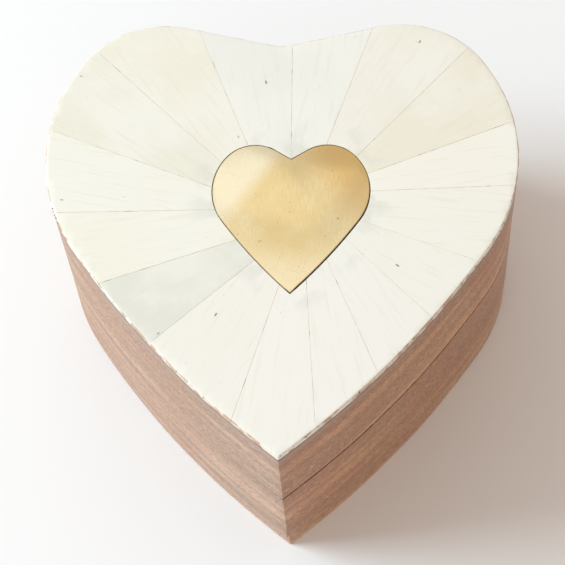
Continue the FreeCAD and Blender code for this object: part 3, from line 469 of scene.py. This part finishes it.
def plasticFinish(look):
    material, tool = newFinish("ivoryNylon")
    add, place = tool["add"], tool["place"]
    body = tool["clouds"](place, look["colour"], look["second"], 500.0)
    grit = tool["marks"](place, (5000, 5000, 5000), 0.5, 0.2)
    tool["feed"](colour=body, roughness=mixNumbers(add, grit.outputs["Value"], *look["shine"]),
                 normal=tool["bump"](grit.outputs["Value"], 0.2, 0.00002))
    return material


fillerLooks = {"brownFiller": (paint(132, 96, 68), paint(178, 140, 106)),
               "darkGlue": (paint(48, 34, 22), paint(92, 66, 42))}


def fillerFinish(name):
    material, tool = newFinish(name, specular=0.3)
    body = tool["clouds"](tool["place"], *fillerLooks[name], 900.0)
    tool["feed"](colour=body, roughness=0.6)
    return material


finishes["felt"] = [feltFinish(feltLook)]
finishes["clear_cover"] = [clearFinish(clearLook)]
finishes["fly_plastic"] = [plasticFinish(plasticLook)]
brownFiller, darkGlue = (fillerFinish(name) for name in fillerLooks)
print("stage: finishes made")


# solid pieces: a merged copy of the CAD piece, with its corners softened

def merged(node):
    shape = bmesh.new()
    shape.from_mesh(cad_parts[node].data)
    bmesh.ops.remove_doubles(shape, verts=shape.verts, dist=0.002 * mm)
    bmesh.ops.dissolve_limit(shape, angle_limit=math.radians(0.4), verts=shape.verts, edges=shape.edges)
    return shape


def isCorner(edge, degrees):
    return len(edge.link_faces) == 2 and edge.calc_face_angle() > math.radians(degrees)


def soften(shape, width, chosen=None, segments=2, degrees=28):
    edges = [edge for edge in shape.edges if isCorner(edge, degrees) and (chosen is None or chosen(edge))]
    if edges:
        bmesh.ops.bevel(shape, geom=edges, offset=width * mm, offset_type="OFFSET", segments=segments,
                        profile=0.5, affect="EDGES", clamp_overlap=True)


def sliced(shape, axis, places):
    normal = Vector([1.0 if index == axis else 0.0 for index in range(3)])
    for place in places:
        everything = shape.verts[:] + shape.edges[:] + shape.faces[:]
        bmesh.ops.bisect_plane(shape, geom=everything, dist=1e-7, plane_co=normal * place, plane_no=normal)


def asPiece(shape, name, body, slot, materials=None, replaces=(), sharp=40):
    mesh = meshFrom(shape, name)
    piece = plainObject(name, mesh)
    for material in materials or finishes[slot]:
        mesh.materials.append(material)
    mesh.shade_smooth()
    mesh.set_sharp_from_angle(angle=math.radians(sharp))
    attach(piece, body)
    if replaces:
        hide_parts(*replaces)
    return piece


def camel(node):
    first, *rest = node.split("_")
    return first + "".join(word.capitalize() for word in rest)


# outlines taken from the frame, as loops of points in order round a middle

def loopOf(node, height, middle):
    shape = merged(node)
    spots = [(v.co.x, v.co.y) for v in shape.verts if abs(v.co.z - height) < 0.01 * mm]
    shape.free()
    return np.array(sorted(spots, key=lambda p: math.atan2(p[1] - middle[1], p[0] - middle[0])))


def distanceTo(loop, x, y):
    start, end = loop, np.roll(loop, -1, axis=0)
    along = end - start
    spot = np.array((x, y))
    share = np.clip(((spot - start) * along).sum(1) / (along * along).sum(1), 0, 1)
    return float(np.linalg.norm(start + along * share[:, None] - spot, axis=1).min())


brassLow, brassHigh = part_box("brass_heart")
brassMiddle = ((brassLow.x + brassHigh.x) / 2, (brassLow.y * 0.45 + brassHigh.y * 0.55))
rimLoop = loopOf("lid_body", brassLow.z, (0, 0))
brassLoop = loopOf("brass_heart", brassHigh.z, brassMiddle)

handWork = {"depth": 0.16, "reach": 1.0, "slow": 70.0, "quick": 420.0, "innerSoft": 0.12}


def onOutside(vert):
    return distanceTo(rimLoop, vert.co.x, vert.co.y) < handWork["reach"] * mm


def handWorked(shape):
    # the outside was sanded by hand, so it dips in a little here and there
    for vert in filter(onOutside, shape.verts):
        x, y, z = vert.co
        slow = noise.noise(Vector((x, y, z * 0.5)) * handWork["slow"])
        quick = noise.noise(Vector((x, y, z)) * handWork["quick"])
        dip = handWork["depth"] * (0.5 + 0.75 * slow + 0.2 * quick) * mm
        inward = -Vector((x, y, 0)).normalized()
        vert.co += inward * min(max(dip, 0.0), handWork["depth"] * 1.2 * mm)


# wood: bottom board, base and lid

woodPieces = {
    "bottom_board": {"body": "case", "soft": 0.3, "slices": 2, "finish": boardWood},
    "base_body": {"body": "case", "soft": 0.22, "slices": 7, "finish": wood},
    "lid_body": {"body": "lid", "soft": 0.22, "slices": 7, "finish": wood},
}
for node, values in woodPieces.items():
    shape = merged(node)
    outside = lambda edge: all(onOutside(v) for v in edge.verts)
    soften(shape, values["soft"], outside, segments=3)
    soften(shape, handWork["innerSoft"], lambda edge: not outside(edge) and isCorner(edge, 60), segments=1)
    low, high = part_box(node)
    step = (high.z - low.z) / values["slices"]
    sliced(shape, 2, [low.z + step * (index + 0.5) for index in range(values["slices"])])
    handWorked(shape)
    asPiece(shape, camel(node), values["body"], "wood", [values["finish"]], [node], sharp=20)
print("stage: wood")


# bone tiles

tileValues = {
    "grid": 1.7,          # mm between the lines that carry the tile's shading values
    "seamSoft": 0.045,
    "rimSoft": 0.34,
    "tones": {            # display colours of single tiles, counted from the cleft, going clockwise
        1: (240, 238, 229), 2: (240, 235, 221), 3: (239, 232, 214), 4: (246, 241, 229),
        5: (244, 241, 228), 6: (243, 240, 229), 7: (244, 241, 232), 8: (244, 240, 232),
        9: (245, 241, 232), 10: (243, 239, 229), 11: (229, 228, 216), 12: (242, 239, 224),
        13: (243, 240, 228), 14: (237, 233, 217), 15: (239, 234, 217), 16: (238, 236, 228)},
}


def seamLines(shape, top):
    # directions of the long straight edges of a tile's top that run outwards from the brass
    middle = Vector((brassMiddle[0], brassMiddle[1], 0))
    found = []
    for edge in shape.edges:
        a, b = edge.verts
        if abs(a.co.z - top) > 0.01 * mm or abs(b.co.z - top) > 0.01 * mm or edge.calc_length() < 7 * mm:
            continue
        along = (b.co - a.co).normalized()
        outward = ((a.co + b.co) / 2 - middle)
        outward.z = 0
        if isCorner(edge, 60) and abs(along.dot(outward.normalized())) > 0.8:
            found.append(along)
    return found


def makeTile(number):
    node = f"bone_tile_{number:02d}"
    shape = merged(node)
    low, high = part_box(node)
    top = high.z
    seams = seamLines(shape, top)
    onRim = lambda edge: all(distanceTo(rimLoop, v.co.x, v.co.y) < 0.05 * mm and v.co.z > top - 0.01 * mm
                             for v in edge.verts)
    soften(shape, tileValues["rimSoft"], onRim, segments=3)
    soften(shape, tileValues["seamSoft"], lambda edge: isCorner(edge, 70), segments=1)
    grid = tileValues["grid"] * mm
    for axis in (0, 1):
        count = int((high[axis] - low[axis]) / grid)
        sliced(shape, axis, [low[axis] + (index + 0.5) * grid for index in range(count + 1)])
    handWorked(shape)
    outward = middleOf(low, high) - Vector((*brassMiddle, top))
    heading = sum((along if along.dot(outward) > 0 else -along for along in seams), Vector())
    turn = math.atan2(heading.y, heading.x)
    fibre = shape.loops.layers.uv.new("fibre")
    spin = Matrix.Rotation(-turn + 0.02 * (number % 5 - 2), 2)
    for face in shape.faces:
        face.material_index = 0 if face.normal.z > 0.86 else 1
        for loop in face.loops:
            flat = spin @ Vector((loop.vert.co.x, loop.vert.co.y)) / mm
            loop[fibre].uv = (flat.x + 37.0 * number, flat.y + 11.0 * number - (top - loop.vert.co.z) / mm)
    reach = [(distanceTo(rimLoop, v.co.x, v.co.y) / mm, distanceTo(brassLoop, v.co.x, v.co.y) / mm, 0.0)
             for v in shape.verts]
    piece = asPiece(shape, camel(node), "lid", "bone", [boneTop, boneEdge], [node], sharp=18)
    mesh = piece.data
    distances = mesh.attributes.new("reach", "FLOAT_VECTOR", "POINT")
    distances.data.foreach_set("vector", np.array(reach).ravel())
    tone = mesh.attributes.new("tone", "FLOAT_COLOR", "POINT")
    tone.data.foreach_set("color", np.tile(paint(*tileValues["tones"][number]), len(mesh.vertices)))
    return len(seams)


seamCounts = [makeTile(number) for number in range(1, 17)]
print("stage: bone tiles, seams found", seamCounts)


# brass heart, set in a bed of dark filler that shows as a thin line; towards the lower right the line is
# widened as painted shadow of the plate's edge

brassValues = {"soft": 0.16, "gap": 0.09, "widest": 0.3, "widestTowards": (0.72, -0.69), "bedDrop": 0.28}


def movedIn(shape, distanceAt):
    # side walls move inwards, each vertex along its own wall's normal
    shape.normal_update()
    shifts = {}
    for vert in shape.verts:
        walls = {tuple(round(c, 2) for c in face.normal.xy): face.normal.copy() for face in vert.link_faces
                 if abs(face.normal.z) < 0.3}
        if walls:
            total = sum(walls.values(), Vector()) / len(walls)
            shifts[vert] = -total / max(total.length_squared, 0.25) * distanceAt(total.normalized()) * mm
    for vert, shift in shifts.items():
        vert.co += shift


# the gap, and with it the dark line, is widest towards the lower right, where it is painted shadow of the
# plate's edge
def brassGap(outward):
    towards = Vector((*brassValues["widestTowards"], 0))
    share = max(0.0, outward.dot(towards)) ** 2
    return brassValues["gap"] + (brassValues["widest"] - brassValues["gap"]) * share


bed = merged("brass_heart")
for vert in bed.verts:
    if vert.co.z > brassHigh.z - 0.01 * mm:
        vert.co.z -= brassValues["bedDrop"] * mm
asPiece(bed, "brassBed", "lid", "bone", [darkGlue])
plate = merged("brass_heart")
movedIn(plate, brassGap)
soften(plate, brassValues["soft"], segments=3)
asPiece(plate, "brassHeart", "lid", "inlay_brass", None, ["brass_heart"], sharp=18)
print("stage: brass heart")


# hardware, cover and movement

softened = (      # body, slot and the width in mm of each piece's softened edges
    ("case", "clear_cover", {"movement_cover": 0.25}),
    ("case", "hardware_brass", {
        "left_hinge_base_leaf": 0.08, "right_hinge_base_leaf": 0.08, "left_hinge_pin": 0.1,
        "right_hinge_pin": 0.1, "base_leaf_screws": 0.05, "board_screws": 0.07, "cover_screws": 0.06}),
    ("case", "steel", {
        "movement_screws": 0.06, "stop_bracket_screw": 0.06, "comb_screws": 0.06, "bracket_screws": 0.05}),
    ("case", "cast_metal", {"bedplate": 0.3}),
    ("case", "steel", {"drum_bridge": 0.12}),
    ("case", "movement_brass", {"cylinder_bearing": 0.1, "governor_frame": 0.1}),
    ("case", "steel", {"comb": 0.05}),
    ("case", "lead", {"comb_weights": 0.12}),
    ("case", "steel", {"stop_bracket": 0.1}),
    ("lid", "hardware_brass", {
        "left_hinge_lid_leaf": 0.08, "right_hinge_lid_leaf": 0.08, "lid_leaf_screws": 0.05}),
    ("key", "steel", {"winding_key": 0.3, "winding_arbor": 0.1}),
    ("drum", "steel", {"spring_drum": 0.15}),
    ("drum", "movement_brass", {"great_wheel": 0.05}),
    ("cylinder", "movement_brass", {"cylinder_end": 0.08, "cylinder_pinion": 0.04, "cylinder_gear": 0.04}),
    ("cylinder", "steel", {"cylinder_shaft": 0.1}),
    ("governor", "movement_brass", {"governor_wheel": 0.03}),
    ("governor", "steel", {"governor_arbor": 0.03}),
    ("fly", "fly_plastic", {"fly": 0.08}),
    ("stopper", "steel", {"stop_plunger": 0.12}),
)
for body, slot, widths in softened:
    for node, width in widths.items():
        shape = merged(node)
        soften(shape, width, degrees=32)
        asPiece(shape, camel(node), body, slot, None, [node], sharp=35)

for node in ("mainspring", "clutch_spring", "worm"):      # kept as they come from the CAD
    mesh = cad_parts[node].data
    for index in range(len(mesh.materials)):
        mesh.materials[index] = finishes["steel"][0]
print("stage: hardware and movement")


# pinned cylinder: a Geometry Nodes tree sets the pins round the tube

cylinderValues = {
    "radius": 6.0, "length": 19.4, "wall": 0.6, "edge": 0.08,
    "pinRadius": 0.22, "pinHeight": 0.7, "pinSunk": 0.5, "pinTaper": 0.8, "pinSides": 10,
    "notes": 18, "pitch": 19 / 18, "firstNote": 0.2,
    "beats": 5,                # pins to a note at most
    "turnPerNote": 137.5, "turnPerBeat": 83.0, "jump": 29.0, "jumpsIn": 47.0}   # degrees, scatter the pins


def pointsWithout(add, points, chosen):
    feeds = {"Geometry": points, "Selection": chosen}
    return add("GeometryNodeDeleteGeometry", feeds, domain="POINT").outputs[0]


def paintedCopies(add, finish, feeds):
    # copies of a mesh on points, made real and given their material
    copies = add("GeometryNodeInstanceOnPoints", feeds)
    solid = add("GeometryNodeRealizeInstances", {"Geometry": copies.outputs[0]})
    return add("GeometryNodeSetMaterial", {"Geometry": solid.outputs[0], "Material": finish})


def pinTree():
    tree, add, inside, outside = newGroup("pinnedCylinder", "GeometryNodeTree", [
        ("Tube", "Geometry", None), ("Radius", "Float", 0.006),
        ("Pin radius", "Float", 0.0002), ("Pin height", "Float", 0.0007),
        ("Notes", "Int", 18), ("Pitch", "Float", 0.001),
        ("Start", "Vector", (0, 0, 0)), ("Finish", "Material", None)],
        [("Geometry", "Geometry")])
    give = inside.outputs
    values = cylinderValues
    beats = float(values["beats"])
    count = times(add, give["Notes"], beats)
    spots = add("GeometryNodePoints", {"Count": count})
    index = add("GeometryNodeInputIndex").outputs[0]
    note = calc(add, "FLOOR", calc(add, "DIVIDE", index, beats))
    beat = calc(add, "MODULO", index, beats)
    jumps = times(add, times(add, note, beat), values["jump"])
    wobble = calc(add, "MODULO", jumps, values["jumpsIn"])
    steady = plus(add, times(add, note, values["turnPerNote"]),
                  times(add, beat, values["turnPerBeat"]))
    turn = calc(add, "MODULO", plus(add, steady, wobble), 360.0)
    turn = calc(add, "RADIANS", turn)
    along = times(add, plus(add, note, 0.5), give["Pitch"])
    reach = calc(add, "SUBTRACT", give["Radius"], values["pinSunk"] * mm)
    depth = times(add, reach, -1.0)
    place = add("ShaderNodeCombineXYZ", {
        "X": along, "Y": times(add, calc(add, "SINE", turn), reach),
        "Z": times(add, calc(add, "COSINE", turn), depth)}).outputs[0]
    place = vectorMath(add, "ADD", place, give["Start"]).outputs[0]
    placed = add("GeometryNodeSetPosition", {"Geometry": spots.outputs[0], "Position": place})
    # every other note goes without its last pin
    last = compared(add, "GREATER_THAN", beat, beats - 1.5)
    even = compared(add, "LESS_THAN", calc(add, "MODULO", note, 2.0), 0.5)
    short = add("FunctionNodeBooleanMath", {0: last, 1: even}, operation="AND").outputs[0]
    fewer = pointsWithout(add, placed.outputs[0], short)
    pin = add("GeometryNodeMeshCone", {
        "Vertices": values["pinSides"], "Radius Bottom": give["Pin radius"],
        "Radius Top": times(add, give["Pin radius"], values["pinTaper"]),
        "Depth": plus(add, give["Pin height"], values["pinSunk"] * mm)})
    smooth = add("GeometryNodeSetShadeSmooth", {"Geometry": pin.outputs["Mesh"], "Shade Smooth": False})
    facing = add("FunctionNodeAxisAngleToRotation", {"Axis": (1.0, 0.0, 0.0), "Angle": calc(
        add, "ADD", turn, math.pi)})
    painted = paintedCopies(add, give["Finish"], {
        "Points": fewer, "Instance": smooth.outputs[0], "Rotation": facing.outputs[0]})
    joined = add("GeometryNodeJoinGeometry")
    tree.links.new(painted.outputs[0], joined.inputs[0])
    tree.links.new(give["Tube"], joined.inputs[0])
    tree.links.new(joined.outputs[0], outside.inputs["Geometry"])
    return tree


def grown(base, tree, values, name):
    # runs a Geometry Nodes tree on an object and returns the result as a plain mesh
    modifier = base.modifiers.new(tree.name, "NODES")
    modifier.node_group = tree
    sockets = {item.name: item.identifier for item in tree.interface.items_tree if item.in_out == "INPUT"}
    for label, value in values.items():
        modifier[sockets[label]] = value
    evaluated = base.evaluated_get(bpy.context.evaluated_depsgraph_get())
    mesh = bpy.data.meshes.new_from_object(evaluated)
    base.modifiers.remove(modifier)
    mesh.name = name
    return mesh


def turnsRound(count):
    return [2 * math.pi * index / count for index in range(count)]


def joinRings(shape, rings, followers):
    for ring, following in zip(rings, followers):
        for side in range(len(ring)):
            after = (side + 1) % len(ring)
            shape.faces.new((ring[side], following[side], following[after], ring[after]))


def tubeShape(start, axisPlace, length, outer, inner, sides=72):
    shape = bmesh.new()
    rings = []
    for x, radius in ((0, outer), (length, outer), (length, inner), (0, inner)):
        rings.append([shape.verts.new((start + x, axisPlace[0] + radius * math.sin(turn),
                                       axisPlace[1] - radius * math.cos(turn)))
                      for turn in turnsRound(sides)])
    joinRings(shape, rings, rings[1:] + rings[:1])
    bmesh.ops.recalc_face_normals(shape, faces=shape.faces)
    return shape


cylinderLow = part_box("cylinder")[0]
shaftMiddle = middleOf(*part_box("cylinder_shaft"))
cylinderAxis = (shaftMiddle.y, shaftMiddle.z)
tube = tubeShape(cylinderLow.x, cylinderAxis, cylinderValues["length"] * mm, cylinderValues["radius"] * mm,
                 (cylinderValues["radius"] - cylinderValues["wall"]) * mm)
soften(tube, cylinderValues["edge"], segments=1, degrees=60)
tubeMesh = meshFrom(tube, "tube")
tubeMesh.materials.append(finishes["movement_brass"][0])
tubeMesh.shade_smooth()
tubeMesh.set_sharp_from_angle(angle=math.radians(40))
tubeBase = plainObject("tubeBase", tubeMesh)
firstPin = (cylinderLow.x + cylinderValues["firstNote"] * mm, *cylinderAxis)
drumMesh = grown(tubeBase, pinTree(), {
    "Radius": cylinderValues["radius"] * mm, "Pin radius": cylinderValues["pinRadius"] * mm,
    "Pin height": cylinderValues["pinHeight"] * mm, "Notes": cylinderValues["notes"],
    "Pitch": cylinderValues["pitch"] * mm, "Start": firstPin,
    "Finish": finishes["steel"][0]}, "pinnedCylinder")
bpy.data.objects.remove(tubeBase)
pinned = plainObject("pinnedCylinder", drumMesh)
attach(pinned, "cylinder")
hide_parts("cylinder")
print("stage: pinned cylinder", len(drumMesh.polygons), "faces")


# stop spring, a coil between the case and the plunger

springValues = {"wire": 0.17, "turns": 6.5, "sides": 8, "steps": 26}


def coilMesh(name, middle, radius, low, high, values):
    shape = bmesh.new()
    wire = values["wire"] * mm
    count = int(values["turns"] * values["steps"])
    rings = []
    for step in range(count + 1):
        share = step / count
        turn = 2 * math.pi * values["turns"] * share
        # the end turns lie flat
        rise = low + wire + (high - low - 2 * wire) * min(max((share * 1.24 - 0.12), 0.0), 1.0)
        out = Vector((math.cos(turn), math.sin(turn), 0))
        centre = Vector((*middle, rise)) + out * radius
        rings.append([shape.verts.new(centre + (out * math.cos(a) + Vector((0, 0, math.sin(a)))) * wire)
                      for a in turnsRound(values["sides"])])
    joinRings(shape, rings, rings[1:])
    shape.faces.new(rings[0])
    shape.faces.new(list(reversed(rings[-1])))
    bmesh.ops.recalc_face_normals(shape, faces=shape.faces)
    mesh = meshFrom(shape, name)
    mesh.shade_smooth()
    return mesh


springLow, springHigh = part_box("stop_spring")
springMiddle = tuple(middleOf(springLow, springHigh).xy)
springRadius = (springHigh.x - springLow.x) / 2 - springValues["wire"] * mm
springMesh = coilMesh("stopSpring", springMiddle, springRadius, springLow.z, springHigh.z, springValues)
springMesh.materials.append(finishes["steel"][0])
stopSpring = plainObject("stopSpring", springMesh)
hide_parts("stop_spring")
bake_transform(stopSpring)
print("stage: stop spring")


# felt lining of the lid: a heart cut for the ceiling and a strip round the wall

feltValues = {"thickness": 0.9, "seam": 0.15, "edge": 0.25, "blades": 10000, "bladeLength": 0.45,
              "bladeWidth": 0.05, "lean": 1.1, "seed": 4}
liningLow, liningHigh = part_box("lid_lining")
liningLoop = loopOf("lid_lining", liningHigh.z, (0, 0))


def shrunk(loop, distance):
    # the loop moved inwards, each point along the mean of its two sides' normals
    ahead = np.roll(loop, -1, axis=0) - loop
    ahead /= np.linalg.norm(ahead, axis=1)[:, None]
    behind = np.roll(ahead, 1, axis=0)
    normal = np.stack([-(ahead + behind)[:, 1], (ahead + behind)[:, 0]], axis=1)
    normal /= np.linalg.norm(normal, axis=1)[:, None]
    lean = np.maximum((normal * np.stack([-ahead[:, 1], ahead[:, 0]], axis=1)).sum(1), 0.45)
    return loop + normal * (distance / lean)[:, None]


def ringWall(shape, loops, closed):
    # each entry is a loop and its height; faces join each ring to the next
    rings = [[shape.verts.new((x, y, z)) for x, y in loop] for loop, z in loops]
    following = rings[1:] + (rings[:1] if closed else [])
    for ring, after in zip(rings, following):
        for index in range(len(ring)):
            neighbour = (index + 1) % len(ring)
            shape.faces.new((ring[index], ring[neighbour], after[neighbour], after[index]))
    return rings


thick = feltValues["thickness"] * mm
ceiling = bmesh.new()
edgeIn = shrunk(liningLoop, feltValues["seam"] * mm)
rings = ringWall(ceiling, [(edgeIn, liningHigh.z - thick), (edgeIn, liningHigh.z - 0.02 * mm)], False)
ceiling.faces.new(rings[0])
ceiling.faces.new(rings[1])
bmesh.ops.recalc_face_normals(ceiling, faces=ceiling.faces)
ceilingFelt = asPiece(ceiling, "ceilingFelt", "lid", "felt", None, ["lid_lining"])
strip = bmesh.new()
innerLoop = shrunk(liningLoop, thick)
stripTop, stripFoot = liningHigh.z - thick - 0.05 * mm, liningLow.z
ringWall(strip, [(liningLoop, stripFoot), (liningLoop, stripTop),
                 (innerLoop, stripTop), (innerLoop, stripFoot)], True)
bmesh.ops.recalc_face_normals(strip, faces=strip.faces)
isLevel = lambda edge: abs(edge.verts[0].co.z - edge.verts[1].co.z) < 1e-6
soften(strip, feltValues["edge"], isLevel, degrees=60)
wallFelt = asPiece(strip, "wallFelt", "lid", "felt")


def napTree():
    tree, add, inside, outside = newGroup("feltNap", "GeometryNodeTree", [
        ("Felt", "Geometry", None), ("Blades per square metre", "Float", 1e6),
        ("Blade length", "Float", 0.0005), ("Blade width", "Float", 0.00005),
        ("Seed", "Int", 0), ("Finish", "Material", None)],
        [("Geometry", "Geometry")])
    give = inside.outputs
    spots = add("GeometryNodeDistributePointsOnFaces", {
        "Mesh": give["Felt"], "Density": give["Blades per square metre"], "Seed": give["Seed"]})
    blade = add("GeometryNodeMeshCone", {
        "Vertices": 3, "Radius Top": 0.0, "Radius Bottom": give["Blade width"],
        "Depth": give["Blade length"]}, fill_type="NONE")
    most = feltValues["lean"]
    lean = add("FunctionNodeRandomValue", {
        0: (-most, -most, 0.0), 1: (most, most, 6.28), "Seed": give["Seed"]}, data_type="FLOAT_VECTOR")
    leaned = add("FunctionNodeEulerToRotation", {0: lean.outputs[0]})
    facing = add("FunctionNodeRotateRotation", {0: spots.outputs["Rotation"], 1: leaned.outputs[0]},
                 rotation_space="LOCAL")
    painted = paintedCopies(add, give["Finish"], {
        "Points": spots.outputs["Points"], "Instance": blade.outputs["Mesh"],
        "Rotation": facing.outputs[0]})
    tree.links.new(painted.outputs[0], outside.inputs["Geometry"])
    return tree


surface = bmesh.new()
ringWall(surface, [(innerLoop, stripFoot + 0.3 * mm), (innerLoop, stripTop)], False)
under = [surface.verts.new((x, y, liningHigh.z - thick)) for x, y in shrunk(innerLoop, 0.2 * mm)]
surface.faces.new(under)
surfaceMesh = meshFrom(surface, "feltSurface")
feltArea = sum(face.area for face in surfaceMesh.polygons)
surfaceBase = plainObject("feltSurface", surfaceMesh)
napMesh = grown(surfaceBase, napTree(), {
    "Blades per square metre": feltValues["blades"] / feltArea, "Seed": feltValues["seed"],
    "Blade length": feltValues["bladeLength"] * mm, "Blade width": feltValues["bladeWidth"] * mm,
    "Finish": finishes["felt"][0]}, "feltNap")
bpy.data.objects.remove(surfaceBase)
nap = plainObject("feltNap", napMesh)
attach(nap, "lid")


# small brown specks where filler shows along the bone's outer edge

speckValues = {"spots": 90, "kept": 0.2, "size": 0.27, "smallest": (0.35, 0.6, 0.45),
               "largest": (1.1, 1.8, 0.75), "inset": 0.16, "drop": 0.48, "seed": 11, "backmost": 6.0}


def speckTree():
    tree, add, inside, outside = newGroup("edgeSpecks", "GeometryNodeTree", [
        ("Rim", "Geometry", None), ("Spots", "Int", 100),
        ("Kept", "Float", 0.2), ("Size", "Float", 0.0003),
        ("Seed", "Int", 0), ("Finish", "Material", None)],
        [("Geometry", "Geometry")])
    give = inside.outputs
    line = add("GeometryNodeMeshToCurve", {"Mesh": give["Rim"]})
    feeds = {"Curve": line.outputs[0], "Count": give["Spots"]}
    spots = add("GeometryNodeCurveToPoints", feeds, mode="COUNT")
    chance = add("FunctionNodeRandomValue", {"Seed": give["Seed"]}, data_type="FLOAT")
    left = compared(add, "GREATER_THAN", chance.outputs[1], give["Kept"])
    fewer = pointsWithout(add, spots.outputs[0], left)
    speck = add("GeometryNodeMeshIcoSphere", {"Radius": give["Size"], "Subdivisions": 2})
    shapes = add("FunctionNodeRandomValue", {0: speckValues["smallest"], 1: speckValues["largest"],
                                             "Seed": give["Seed"]}, data_type="FLOAT_VECTOR")
    painted = paintedCopies(add, give["Finish"], {
        "Points": fewer, "Instance": speck.outputs["Mesh"],
        "Rotation": spots.outputs["Rotation"], "Scale": shapes.outputs[0]})
    tree.links.new(painted.outputs[0], outside.inputs["Geometry"])
    return tree


speckLoop = shrunk(rimLoop, speckValues["inset"] * mm)
front = [index for index, spot in enumerate(speckLoop) if spot[1] < speckValues["backmost"] * mm]
rimMesh = bpy.data.meshes.new("rim")
speckHeight = brassHigh.z - speckValues["drop"] * mm
rimMesh.from_pydata([(x, y, speckHeight) for x, y in speckLoop],
                    [(index, index + 1) for index in front if index + 1 in front], [])
rimBase = plainObject("rimBase", rimMesh)
speckMesh = grown(rimBase, speckTree(), {
    "Spots": speckValues["spots"], "Kept": speckValues["kept"], "Size": speckValues["size"] * mm,
    "Seed": speckValues["seed"], "Finish": brownFiller}, "edgeSpecks")
bpy.data.objects.remove(rimBase)
specks = plainObject("edgeSpecks", speckMesh)
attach(specks, "lid")
print("stage: edge specks", len(speckMesh.polygons), "faces")


# studio and camera

studio = {"floor": paint(246, 246, 246), "floorReach": 3.0, "floorDrop": 0.03, "floorRoughness": 0.7,
          "worldColour": (1.0, 0.88, 0.78, 1.0), "worldStrength": 0.585,
          "keyColour": (0.74, 0.90, 1.0), "keyPower": 23.7, "keySize": 0.82,
          "keyPlace": (-1.23, 0.15, 0.81), "keyTarget": (0, 0, 0.02)}
overheadCards = {      # place, size, power, turn; they face down and show in the brass
    "over": ((-0.08, 0.46, 0.85), 0.80, 0.297, 0.0),
    "cardLeft": ((-0.155, 0.49, 0.84), 0.30, 0.09, 45.0),
    "cardFront": ((-0.03, 0.26, 0.84), 0.15, 0.03, 0.0)}


def addLight(name, place, target, power, size, colour=(1.0, 1.0, 1.0)):
    light = bpy.data.lights.new(name, "AREA")
    light.color = colour
    light.energy, light.size = power, size
    holder = plainObject(name, light)
    holder.location = place
    if target:
        holder.rotation_euler = (Vector(target) - Vector(place)).to_track_quat("-Z", "Y").to_euler()
    return holder


floorShape = bmesh.new()
bmesh.ops.create_grid(floorShape, x_segments=1, y_segments=1, size=studio["floorReach"])
bmesh.ops.translate(floorShape, verts=floorShape.verts, vec=(0, 0, -studio["floorDrop"] * mm))
floorMesh = meshFrom(floorShape, "floor")
floor = plainObject("floor", floorMesh)
floorPaint, floorTool = newFinish("paleFloor", specular=0.2)
floorTool["feed"](colour=studio["floor"], roughness=studio["floorRoughness"])
floorMesh.materials.append(floorPaint)

world = bpy.data.worlds.new("studio")
world.use_nodes = True
background = world.node_tree.nodes["Background"]
background.inputs["Color"].default_value = studio["worldColour"]
background.inputs["Strength"].default_value = studio["worldStrength"]
bpy.context.scene.world = world
addLight("key", studio["keyPlace"], studio["keyTarget"], studio["keyPower"], studio["keySize"],
         studio["keyColour"])
for name, (place, size, power, turn) in overheadCards.items():
    addLight(name, place, None, power, size).rotation_euler = (0, 0, math.radians(turn))
bpy.context.scene.view_settings.view_transform = "Standard"

cameraValues = {"lens": 152.9, "target": (-0.0018, 0.01242, 0.0), "distance": 0.5082, "azimuth": 5.49,
                "elevation": 67.06, "roll": -5.30}


def cameraMatrix(values):
    azimuth, elevation, roll = (math.radians(values[key]) for key in ("azimuth", "elevation", "roll"))
    back = Vector((math.sin(azimuth) * math.cos(elevation), -math.cos(azimuth) * math.cos(elevation),
                   math.sin(elevation)))
    right = Vector((0, 0, 1)).cross(back).normalized()
    top = back.cross(right)
    rolledRight = right * math.cos(roll) + top * math.sin(roll)
    rolledTop = top * math.cos(roll) - right * math.sin(roll)
    matrix = Matrix((rolledRight, rolledTop, back)).transposed().to_4x4()
    matrix.translation = Vector(values["target"]) + back * values["distance"]
    return matrix


lens = bpy.data.cameras.new("camera")
lens.lens, lens.sensor_width = cameraValues["lens"], 36.0
lens.clip_start, lens.clip_end = 0.01, 20.0
camera = plainObject("camera", lens)
camera.matrix_world = cameraMatrix(cameraValues)
bpy.context.scene.camera = camera
print("stage: studio and camera")
